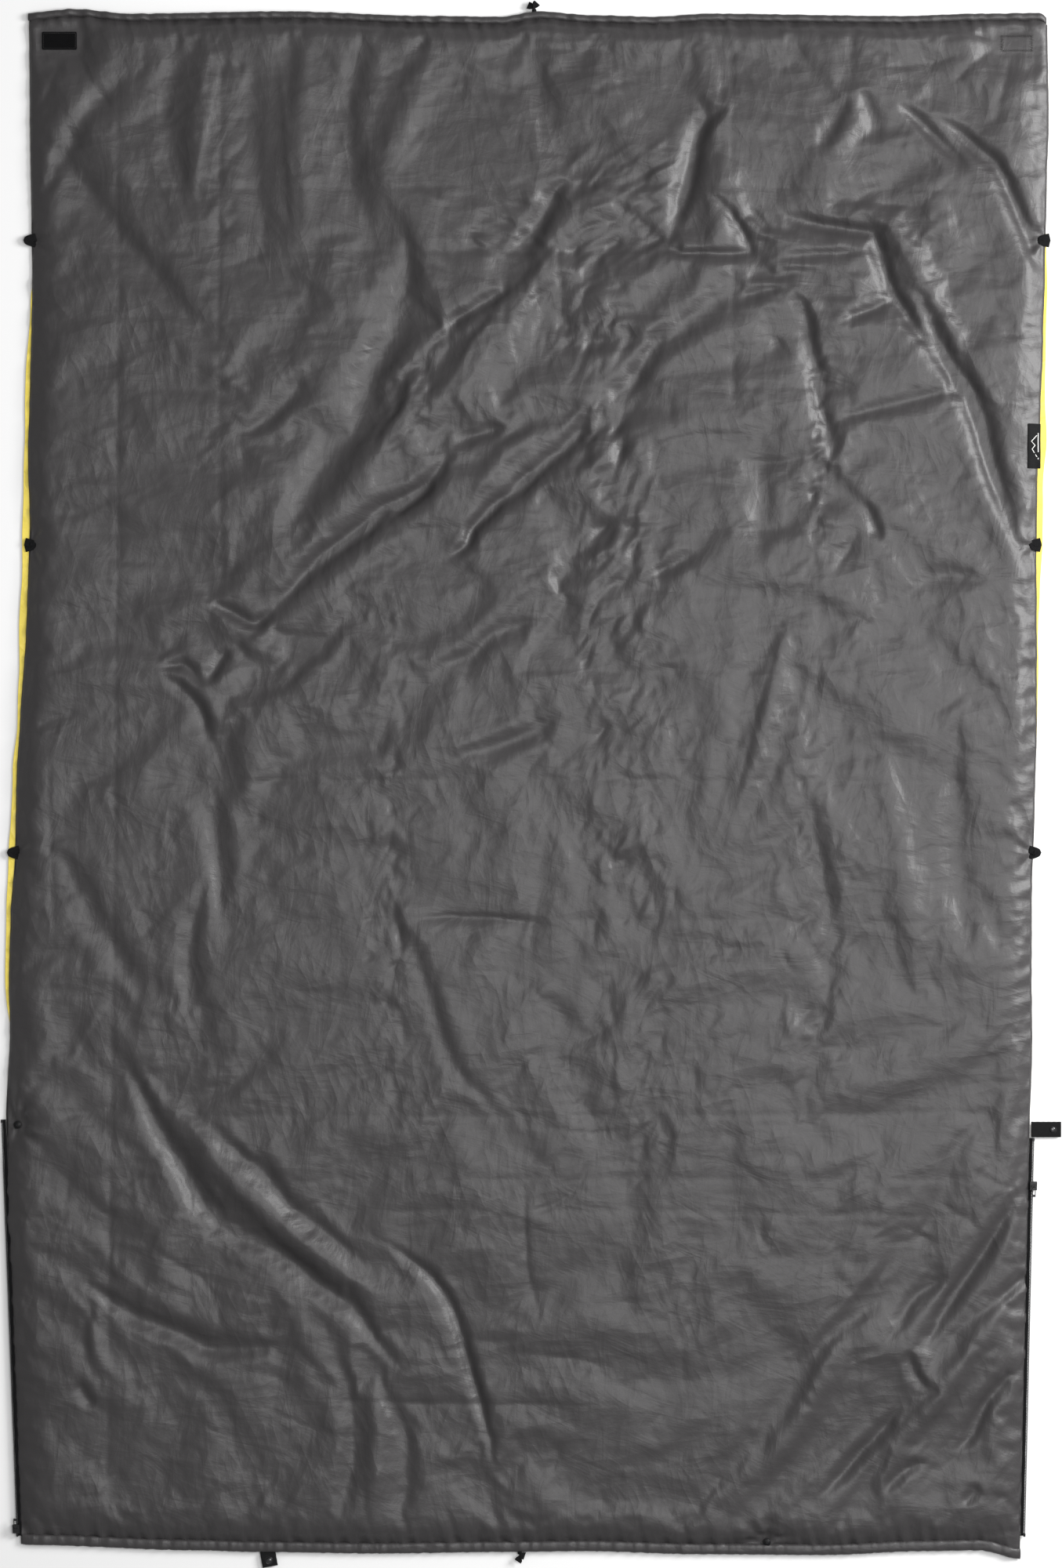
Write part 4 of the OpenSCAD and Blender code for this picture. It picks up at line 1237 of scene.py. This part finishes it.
# %% A patch: a pad with rounded corners, crowned a little
def pad(name, low, high, corner, crown=0.0003, step=0.0015):
    """A flat pad that fills a box, with rounded corners and a soft upper edge."""
    columns = max(4, int((high.x - low.x) / step))
    rows = max(4, int((high.y - low.y) / step))
    u = np.linspace(-1, 1, columns + 1)[None, :]
    v = np.linspace(-1, 1, rows + 1)[:, None]
    half_x, half_y = (high.x - low.x) / 2, (high.y - low.y) / 2
    x, y = u * half_x + 0 * v, v * half_y + 0 * u
    into_x = np.maximum(np.abs(x) - (half_x - corner), 0)
    into_y = np.maximum(np.abs(y) - (half_y - corner), 0)
    away = np.maximum(np.hypot(into_x, into_y), 1e-9)
    shrink = np.where(away > corner, corner / away, 1)
    x = np.sign(x) * (np.minimum(np.abs(x), half_x - corner) + into_x * shrink)
    y = np.sign(y) * (np.minimum(np.abs(y), half_y - corner) + into_y * shrink)
    soft = np.minimum(1, np.minimum(half_x - np.abs(x), half_y - np.abs(y)) / 0.0008)
    top = high.z - crown * (1 - soft)
    middle = ((low.x + high.x) / 2, (low.y + high.y) / 2)
    upper = np.stack([x + middle[0], y + middle[1], top], -1)
    lower = np.stack([x + middle[0], y + middle[1], np.full_like(x, low.z)], -1)
    index = np.arange(x.size).reshape(x.shape)
    quads = np.stack([index[:-1, :-1], index[:-1, 1:], index[1:, 1:], index[1:, :-1]], -1).reshape(-1, 4)
    rim = np.concatenate([index[0, :-1], index[:-1, -1], index[-1, :0:-1], index[:0:-1, 0]])
    walls = np.stack([rim, rim + x.size, np.roll(rim, -1) + x.size, np.roll(rim, -1)], -1)
    faces = np.concatenate([quads, quads[:, ::-1] + x.size, walls]).tolist()
    points = np.concatenate([upper.reshape(-1, 3), lower.reshape(-1, 3)]).tolist()
    return joined(name, [(points, faces)])


hook_low, hook_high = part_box("hook_patch")
hook_pad = pad("hook_patch_pad", hook_low, hook_high - Vector((0, 0, 0.0004)), 0.0015)
hook_finish = Finish("hook_tape_nylon", (0.0030, 0.0030, 0.0034), 0.8, Specular_IOR_Level=0.12)
hook_finish.tint(hook_finish.noise((120, 120, 120)), 0.7, 2.2)
hook_finish.relief(hook_finish.waves(700, "X"), 0.0002)
hook_finish.on(hook_pad, slot="hook_tape")
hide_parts("hook_patch")
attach(hook_pad, "left_half")


# %% The hooks, in rows that lean both ways
def bent_hooks(low, high, pitch, tall, thick, seed):
    random = np.random.default_rng(seed)
    bend = [(0, 0), (0.0, 0.55), (0.25, 0.95), (0.62, 0.9), (0.75, 0.6)]
    parts = []
    for row, y in enumerate(np.arange(low.y + 0.0015, high.y - 0.0012, pitch)):
        for x in np.arange(low.x + 0.0015, high.x - 0.0015, pitch):
            lean = (1 if row % 2 else -1) * tall * random.uniform(0.8, 1.1)
            dx, dy = random.normal(0, 0.1 * pitch, 2)
            points, faces = [], []
            for out, up in bend:
                for side in (-1, 1):
                    points.append((x + dx + out * lean, y + dy + side * thick, high.z - 0.0004 + up * tall))
            for r in range(len(bend) - 1):
                faces.append((2 * r, 2 * r + 1, 2 * r + 3, 2 * r + 2))
            parts.append((points, faces))
    return parts


hooks = joined("hook_patch_hooks", bent_hooks(hook_low, hook_high, 0.0012, 0.0011, 0.00018, 71))
hook_finish.on(hooks, slot="hook_tape")
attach(hooks, "left_half")
print("hooks:", len(hooks.data.polygons) // 4)

# %% The loop patch under the right corner, and the zigzag that holds each patch
loop_low, loop_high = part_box("loop_patch")
loop_pad = pad("loop_patch_pad", loop_low, loop_high, 0.0015)
loop_finish = Finish("loop_tape_pile", (0.012, 0.012, 0.013), 0.95, Sheen_Weight=0.5)
loop_finish.tint(loop_finish.noise((500, 500, 500)), 0.6, 2.0)
loop_finish.relief(loop_finish.noise((1400, 1400, 1400), 4), 0.0008)
loop_finish.on(loop_pad, slot="loop_tape")
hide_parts("loop_patch")
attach(loop_pad, "right_half")


def box_outline(low, high, inset):
    x0, y0, x1, y1 = low.x + inset, low.y + inset, high.x - inset, high.y - inset
    return [(x0, y0), (x1, y0), (x1, y1), (x0, y1), (x0, y0)]


def patch_top(x, y):
    return np.full_like(x, hook_high.z - 0.0003)


hook_thread = joined("hook_patch_stitches", [
    stitch_row(box_outline(hook_low, hook_high, 0.0018), 0.0022, 0.0007, patch_top, 72)])
thread_finish.on(hook_thread, slot="hook_tape")
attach(hook_thread, "left_half")
zigzag = []
for inset in (0.0010, 0.0022):
    outline = box_outline(loop_low, loop_high, inset)
    zigzag.append(stitch_row(outline, 0.0012, 0.0002, height_at, 73, 0.0003, 0.0022))
for x in (loop_low.x + 0.0010, loop_low.x + 0.0028, loop_high.x - 0.0028, loop_high.x - 0.0010):
    bar = [(x, loop_low.y), (x, loop_high.y)]
    zigzag.append(stitch_row(bar, 0.0014, 0.0003, height_at, 74, 0.0004, 0.0048))
loop_thread = joined("loop_patch_zigzag", zigzag)
thread_finish.on(loop_thread, slot="shell_cloth")
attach(loop_thread, "right_half")
print("patch stitches:", (len(hook_thread.data.polygons) + len(loop_thread.data.polygons)) // 18)

# %% [markdown]
# ## The side label
#
# A woven label sits on the seam. It's a folded satin ribbon, black, with a plain mark in white
# thread: two peaks over a line. The mark is a raised thread and not a picture, so it stays
# sharp from close by.

# %% Label ribbon, laid on the cloth
label_low, label_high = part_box("side_label")
label = pad("side_label_ribbon", label_low, label_high, 0.0006, 0.0002)
calm = relief.copy()
for _ in range(3):
    for axis in (0, 1):
        calm = (np.roll(calm, 1, axis) + 2 * calm + np.roll(calm, -1, axis)) / 4


def lay_on(piece, clear):
    """Lowers or lifts each point so that the piece follows the cloth under it."""
    for vertex in piece.data.vertices:
        here = float(height_at(np.array([vertex.co.x]), np.array([vertex.co.y]), calm)[0])
        vertex.co.z += here + clear - label_low.z


lay_on(label, 0.0006)
label_finish = Finish("label_satin", (0.0045, 0.0045, 0.0050), 0.6, Specular_IOR_Level=0.20)
label_finish.tint(label_finish.noise((200, 200, 200)), 0.8, 1.5)
label_finish.relief(label_finish.waves(1100, "Y"), 0.00010)
label_finish.on(label, slot="label_weave")
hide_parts("side_label")
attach(label, "right_half")


# %% The mark, in raised white thread
def thread_line(points, radius):
    """A round thread through the points, as (points, faces)."""
    line = np.array(points, float)
    d = np.gradient(line, axis=0)
    d /= np.linalg.norm(d, axis=1)[:, None]
    n = np.stack([-d[:, 1], d[:, 0], 0 * d[:, 0]], -1)
    out, faces = [], []
    for at, across in zip(line, n):
        for k in range(6):
            a = math.pi * k / 3
            out.append(tuple(at + across * radius * math.cos(a) + (0, 0, radius * math.sin(a))))
    for r in range(len(line) - 1):
        for c in range(6):
            i, j = 6 * r + c, 6 * r + (c + 1) % 6
            faces.append((i, j, j + 6, i + 6))
    return out, faces


mark_x = (label_low.x + label_high.x) / 2
mark_z = label_high.z + 0.0001
peaks = [(0.0035, 14), (-0.0040, 6), (0.0010, 1), (-0.0030, -4), (0.0035, -14)]
mark_y = (label_low.y + label_high.y) / 2
mark_lines = [
    [(mark_x + a, mark_y + 0.001 * b, mark_z) for a, b in peaks],
    [(mark_x + 0.0052, mark_y + 0.001 * b, mark_z) for b in (17, 6, -6, -17)],
]
mark_threads = []
for points in mark_lines:
    for off in (-0.0004, 0.0, 0.0004):
        mark_threads.append(thread_line([(x + off, y, z) for x, y, z in points], 0.00025))
mark = joined("side_label_mark", mark_threads)
lay_on(mark, 0.0006)
mark_finish = Finish("white_thread", (0.75, 0.75, 0.73), 0.5)
mark_finish.tint(mark_finish.noise((1500, 1500, 1500)), 0.85, 1.05)
mark_finish.relief(mark_finish.waves(3000, "DIAGONAL"), 0.00008)
mark_finish.on(mark, slot="label_weave")
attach(mark, "right_half")
print("label:", [round(v / MM, 1) for v in (label_high - label_low)], "mm")

# %% [markdown]
# ## Ribbon loops
#
# Narrow grosgrain ribbon is folded to a point and sewn into the seam, so each loop looks like a
# small black triangle. The ones at the middle of the head and the foot have twisted, and show
# as two little ears on a stem. All are a flat band with a thickness, bent along a path.


# %% A band along a path
def band(name, centre, half_width, thick):
    """A flat band: centre and half_width are rows of points and of vectors across it."""
    c, w = np.array(centre, float), np.array(half_width, float)
    up = np.zeros_like(c)
    d = np.gradient(c, axis=0)
    cross = np.cross(d, w)
    up = cross / np.maximum(np.linalg.norm(cross, axis=1), 1e-9)[:, None]
    section = [(-1, 0), (-0.9, 1), (-0.45, 1.15), (0, 1.2), (0.45, 1.15), (0.9, 1), (1, 0), (0.9, -1),
               (0, -1), (-0.9, -1)]
    rows = [c + w * u + up * v * thick / 2 for u, v in section]
    return grid_piece(name, np.stack(rows, 1), ring=True)


ribbon_finish = Finish("grosgrain_ribbon", (0.0045, 0.0045, 0.0050), 0.75, Specular_IOR_Level=0.15)
ribbon_finish.tint(ribbon_finish.noise((260, 260, 260)), 0.7, 1.8)
ribbon_finish.relief(ribbon_finish.waves(900, "DIAGONAL"), 0.00018)


# %% The six side loops, folded to a point
def folded_loop(node, side, out, body):
    """A ribbon that leaves the seam, turns at a point and comes back beside itself."""
    low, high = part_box(node)
    y = (low.y + high.y) / 2
    seam = float(seam_x(side, y))
    way = side * out
    reach = (high.x - low.x) * 0.92
    spread = (high.y - low.y) * 0.34
    half = 0.0052
    t = np.linspace(-1, 1, 25)
    along = reach * (1 - np.abs(t) ** 1.6) - half * 0.7
    over = np.linspace(-1, 1, 25) * spread
    ground = 2.6 * MM if out > 0 else float(height_at(np.array([seam - side * 0.004]), np.array([y]))[0])
    z = ground + 0.0009 + 0.0016 * (1 - t**2) + 0.0005 * t
    centre = np.stack([seam + way * (along - 0.002), y + over, z], -1)
    d = np.gradient(centre[:, :2], axis=0)
    d /= np.linalg.norm(d, axis=1)[:, None]
    across = np.stack([-d[:, 1] * half, d[:, 0] * half, 0.0006 * np.cos(math.pi * t / 2)], -1)
    piece = band(node + "_ribbon", centre, across, 0.0008)
    ribbon_finish.on(piece, slot="ribbon")
    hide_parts(node)
    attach(piece, body)
    return piece


for place, left_out, right_out in (("upper", 1, -1), ("mid", -1, -1), ("lower", 1, 1)):
    folded_loop(place + "_loop_left", LEFT, left_out, "left_half")
    folded_loop(place + "_loop_right", RIGHT, right_out, "right_half")
print("side loops: 6")


# %% The two middle loops, twisted into ears
def eared_loop(node, root, ears, body):
    """Two ribbon ears on one stem. ears are the offsets of their tips from the root."""
    parts = []
    for k, (ex, ey) in enumerate(ears):
        t = np.linspace(0, 1, 16)
        bow = 0.0018 * np.sin(math.pi * t) * (1 if k else -1)
        length = math.hypot(ex, ey)
        nx, ny = -ey / length, ex / length
        stem = np.minimum(t * 2.2, 1)
        x = root[0] + ex * t**1.5 + nx * bow
        y = root[1] + ey * t**0.9 + ny * bow
        z = root[2] + 0.0012 * k + 0.0022 * np.sin(math.pi * t * 0.8)
        waist = np.exp(-(((t - 0.42) / 0.22) ** 2))
        half = 0.0034 + 0.0010 * t - 0.0018 * waist
        twist = 0.9 * waist
        across = np.stack([nx * half * np.cos(twist), ny * half * np.cos(twist), half * np.sin(twist)], -1)
        way = np.array([ex / length, ey / length, 0])
        lean = 0.5 * stem[:, None] * way * half[:, None] * (1 if k else -1)
        parts.append(band(node + "_ear" + str(k), np.stack([x, y, z], -1), across + lean, 0.0008))
    for part in parts:
        ribbon_finish.on(part, slot="ribbon")
        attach(part, body)
    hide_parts(node)
    return parts


head_root = (0.0045, float(head_y(np.array([0.0045]))[0]) - 0.002, 0.0042)
eared_loop("head_centre_loop", head_root, [(-0.0085, 0.0100), (0.0035, 0.0128)],
           body_of("head_centre_loop"))
foot_root = (-0.0152, float(foot_y(np.array([-0.0152]))[0]) + 0.002, 0.0042)
eared_loop("foot_centre_loop", foot_root, [(0.0070, -0.0070), (-0.0020, -0.0138)],
           body_of("foot_centre_loop"))
print("middle loops: 2")

# %% [markdown]
# ## Zips
#
# Half a zip runs down each side from the hip to the foot: a woven tape sewn in the seam, and
# a coil of nylon line along its edge. Teeth could be painted on a rod, but a coil is a real
# helix, and so it is made as one: a thin round line that winds round the coil's core.


# %% Where a zip runs: the two ends of its coil in the frame
def run_of(node):
    """The top and bottom middle of a long straight CAD piece."""
    corners = np.array([v.co for v in frame["nodes"][node].data.vertices])
    top = corners[corners[:, 1] > corners[:, 1].max() - 0.004]
    bottom = corners[corners[:, 1] < corners[:, 1].min() + 0.004]
    return (top.min(0) + top.max(0)) / 2, (bottom.min(0) + bottom.max(0)) / 2


def zip_coil(node, radius, pitch, line):
    top, bottom = run_of(node)
    length = np.linalg.norm(bottom - top)
    d = (bottom - top) / length
    n = np.array([-d[1], d[0], 0])
    turns = int(length / pitch)
    t = np.linspace(0, 1, turns * 12)
    a = 2 * math.pi * turns * t
    centre = top + d * (length * t)[:, None]
    across, high = radius - line, radius * 0.8 - line
    path = centre + n * (across * np.cos(a))[:, None] + np.stack([0 * a, 0 * a, high * np.sin(a)], -1)
    tangent = np.gradient(path, axis=0)
    tangent /= np.linalg.norm(tangent, axis=1)[:, None]
    side = np.cross(tangent, d)
    side /= np.linalg.norm(side, axis=1)[:, None]
    other = np.cross(tangent, side)
    around = np.linspace(0, 2 * math.pi, 5, endpoint=False)
    rings = [path + side * line * math.cos(k) + other * line * math.sin(k) for k in around]
    return grid_piece(node + "_line", np.stack(rings, 1), ring=True)


coil_finish = Finish("coil_nylon", (0.0040, 0.0040, 0.0045), 0.5, Specular_IOR_Level=0.25)
coil_finish.tint(coil_finish.noise((400, 400, 400)), 0.7, 1.8)
coil_finish.relief(coil_finish.noise((2500, 2500, 2500)), 0.00005)
tape_finish = Finish("zip_tape_weave", (0.0045, 0.0045, 0.0050), 0.8, Specular_IOR_Level=0.12)
tape_finish.tint(tape_finish.noise((500, 200, 300)), 0.7, 1.7)
tape_finish.relief(tape_finish.waves(1300, "DIAGONAL"), 0.00012)


# %% Coil and tape on each side
def zip_tape(node, ripple, seed):
    """A woven strip a little wider than its CAD piece, which dips under the shell's edge."""
    top, bottom = run_of(node)
    d = (bottom - top) / np.linalg.norm(bottom - top)
    corners = np.array([v.co for v in frame["nodes"][node].data.vertices])
    n = np.array([-d[1], d[0], 0])
    half = np.ptp((corners - top) @ n) / 2
    t = np.arange(0, np.linalg.norm(bottom - top), 0.003)
    wave = pucker_wave(t, 0.03, seed)
    centre = top + d * t[:, None] + np.stack([0 * t, 0 * t, ripple * wave], -1)
    across = n * (half * (1.05 + 0.04 * wave))[:, None]
    return band(node + "_woven", centre, across, 0.0006)


for word, body in (("left", "left_half"), ("right", "right_half")):
    coil = zip_coil("zip_coil_" + word, 0.0013, 0.0014, 0.00034)
    coil_finish.on(coil, slot="zip_coil")
    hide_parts("zip_coil_" + word)
    tape = zip_tape("zip_tape_" + word, 0.0003, 81)
    tape_finish.on(tape, slot="zip_tape")
    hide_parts("zip_tape_" + word)
    for piece in (coil, tape):
        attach(piece, body)
    print("zip", word + ":", len(coil.data.vertices), "points on its coil")

# %% Sliders, pulls and stops: the frame's own parts, with worn black paint and soft edges
paint_finish = Finish("slider_black_paint", (0.0055, 0.0055, 0.0060), 0.42, Specular_IOR_Level=0.35)
paint_finish.tint(paint_finish.ramp(paint_finish.noise((900, 900, 900), 5), 0.35, 0.75), 0.7, 3.0)
paint_finish.relief(paint_finish.noise((3000, 3000, 3000)), 0.00004)
for node in ("zip_slider_left", "zip_slider_right", "zip_pull_left", "zip_pull_right", "zip_stops_left",
             "zip_stops_right"):
    part = frame["nodes"][node]
    paint_finish.on(part)
    soft = part.modifiers.new("soft_edges", "BEVEL")
    soft.width = 0.00018
    soft.segments = 2
    soft.limit_method = "ANGLE"
print("zip metal: 6 parts")

# %% [markdown]
# ## Webbing straps and snaps
#
# Two short straps of flat webbing carry snap caps, and the quilt's other side carries the
# studs. Webbing is a thick weave, so its ribs are bump in both directions and its end is
# folded back and stitched. Snap parts are turned metal, so each is a profile spun round its
# own axis.


# %% A strap with a folded end
def strap(name, root, direction, length, width, thick, sag, double=0.012):
    """Flat webbing from its root outwards, doubled over at the far end."""
    s = np.concatenate([np.linspace(0, length, 22), np.linspace(length, length - double, 8)])
    fold = np.concatenate([np.zeros(22), np.ones(8)])
    d = np.array([direction[0], direction[1], 0.0])
    n = np.array([-d[1], d[0], 0.0])
    z = root[2] + sag * np.sin(math.pi * s / length) - fold * thick * 1.05
    centre = np.array(root)[None, :] * (1, 1, 0) + d * s[:, None] + np.stack([0 * s, 0 * s, z], -1)
    half = width / 2 * (1 + 0.01 * np.sin(900 * s))
    top = band(name + "_top", centre[:22], n * half[:22, None], thick)
    under = band(name + "_fold", centre[22:][::-1], n * half[22:, None] * 0.985, thick)
    return top, under


webbing_finish = Finish("flat_webbing", (0.0060, 0.0060, 0.0066), 0.7, Specular_IOR_Level=0.22)
webbing_finish.tint(webbing_finish.noise((300, 300, 300), 4), 0.7, 1.9)
webbing_finish.relief(webbing_finish.waves(620, "Y"), 0.00022)
webbing_finish.relief(webbing_finish.waves(620, "X"), 0.00018)

side_low, side_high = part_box("side_strap")
side_middle = (side_low.y + side_high.y) / 2
side_thick = 0.0011
side_root = (side_low.x, side_middle, side_high.z - side_thick / 2)
side_parts = strap("side_strap", side_root, (1, 0), side_high.x - side_low.x, side_high.y - side_low.y,
                   side_thick, 0.0004)
foot_joint = next(j for j in frame["record"]["behaviour"]["joints"] if j["name"] == "foot_strap_flap")
foot_axis = np.array(foot_joint["axis"], float)
foot_way = (-foot_axis[1], foot_axis[0])
foot_at = foot_joint["pos_m"]
corners = np.array([v.co for v in frame["nodes"]["foot_strap"].data.vertices]) - foot_at
foot_length = (corners @ np.array([*foot_way, 0])).max()
foot_width = np.ptp(corners @ foot_axis)
foot_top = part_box("foot_strap")[1].z
foot_parts = strap("foot_strap", (foot_at[0], foot_at[1], foot_top - side_thick / 2), foot_way, foot_length,
                   foot_width, side_thick, 0.0002, 0.007)
for parts, node, body in (
    (side_parts, "side_strap", "side_strap_flap"),
    (foot_parts, "foot_strap", "foot_strap_flap"),
):
    webbing_finish.on(*parts, slot="webbing")
    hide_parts(node)
    for part in parts:
        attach(part, body)
stub_line = np.linspace(-0.0075, 0.0010, 6)[:, None] * np.array([*foot_way, 0])
stub_middle = np.array([foot_at[0], foot_at[1], foot_top - side_thick / 2 - 0.0004]) + stub_line
stub = band("foot_strap_root", stub_middle, np.tile(foot_axis * foot_width / 2, (6, 1)), side_thick)
webbing_finish.on(stub, slot="webbing")
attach(stub, "left_half")
print("straps:", round((side_high.x - side_low.x) / MM), "and", round(float(foot_length) / MM), "mm long")


# %% Turned snap parts
def turned(name, profile, at, steps=64):
    """A profile of (radius, height) points, eased and spun round the vertical through at."""
    line = smooth_line(profile, 0.00015)
    line[:, 0] = np.maximum(line[:, 0], 0.00002)
    a = np.linspace(0, 2 * math.pi, steps, endpoint=False)
    points = np.stack([
        at[0] + line[:, :1] * np.cos(a),
        at[1] + line[:, :1] * np.sin(a),
        at[2] + line[:, 1:] + 0 * a,
    ], -1)
    return grid_piece(name, points[:, ::-1], ring=True)


def profile_for(kind, r, h):
    """Outline of one snap part as shares of its radius r and height h, from its lowest point."""
    shapes = {
        "cap": [(0.0, 0.0), (0.86, 0.0), (0.97, 0.12), (1.0, 0.34), (0.95, 0.56), (0.86, 0.60), (0.80, 0.56),
                (0.74, 0.66), (0.55, 0.88), (0.28, 0.98), (0.0, 1.0)],
        "socket": [(0.40, 0.0), (0.60, 0.0), (0.88, 0.10), (0.98, 0.45), (1.0, 0.8), (0.94, 1.0), (0.5, 1.0),
                   (0.42, 0.8), (0.36, 0.4), (0.40, 0.0)],
        "stud": [(0.0, 0.0), (0.92, 0.0), (1.0, 0.10), (0.97, 0.22), (0.80, 0.26), (0.42, 0.30), (0.34, 0.42),
                 (0.34, 0.60), (0.46, 0.74), (0.46, 0.88), (0.34, 0.98), (0.14, 1.0), (0.0, 0.93)],
        "stud_back": [(0.0, 0.0), (0.85, 0.0), (1.0, 0.3), (0.95, 0.8), (0.6, 1.0), (0.0, 1.0)],
    }
    return [(a * r, b * h) for a, b in shapes[kind]]


snap_finish = Finish("snap_black_enamel", (0.0035, 0.0035, 0.0040), 0.46, Specular_IOR_Level=0.22)
snap_finish.tint(snap_finish.ramp(snap_finish.noise((700, 700, 700), 5), 0.4, 0.8), 0.8, 2.5)
snap_finish.relief(snap_finish.noise((1800, 1800, 1800)), 0.00003)
cap_finish = Finish("snap_cap_lacquer", (0.0080, 0.0080, 0.0090), 0.26, Coat_Weight=0.6)
cap_finish.tint(cap_finish.ramp(cap_finish.noise((700, 700, 700), 5), 0.4, 0.8), 0.8, 2.5)
cap_finish.relief(cap_finish.noise((1800, 1800, 1800)), 0.00003)
for place in ("side", "foot"):
    for kind in ("cap", "socket", "stud", "stud_back"):
        node = place + "_snap_" + kind
        low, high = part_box(node)
        radius = (high.x - low.x) / 2
        at = ((low.x + high.x) / 2, (low.y + high.y) / 2, low.z)
        part = turned(node + "_turned", profile_for(kind, radius, high.z - low.z), at)
        (cap_finish if kind == "cap" else snap_finish).on(part, slot="snap_metal")
        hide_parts(node)
        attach(part, body_of(node))
print("snap parts: 8")

# %% [markdown]
# ## The floor
#
# The quilt lies on a pale plain floor, a hair under its lining. The two cloths are cut to
# the quilt's size plus the turned edges, and the filling is a thin pad that isn't tight.

# %% The floor
floor_corners = [[(-4.0, -4.0, -0.0005), (4.0, -4.0, -0.0005)], [(-4.0, 4.0, -0.0005), (4.0, 4.0, -0.0005)]]
floor = grid_piece("floor", np.array(floor_corners))
floor_finish = Finish("pale_floor", (0.86, 0.86, 0.86), 0.8)
floor_finish.relief(floor_finish.noise((60, 60, 60), 3), 0.0001, 0.3)
floor_finish.on(floor)

# %% The end
print("done")
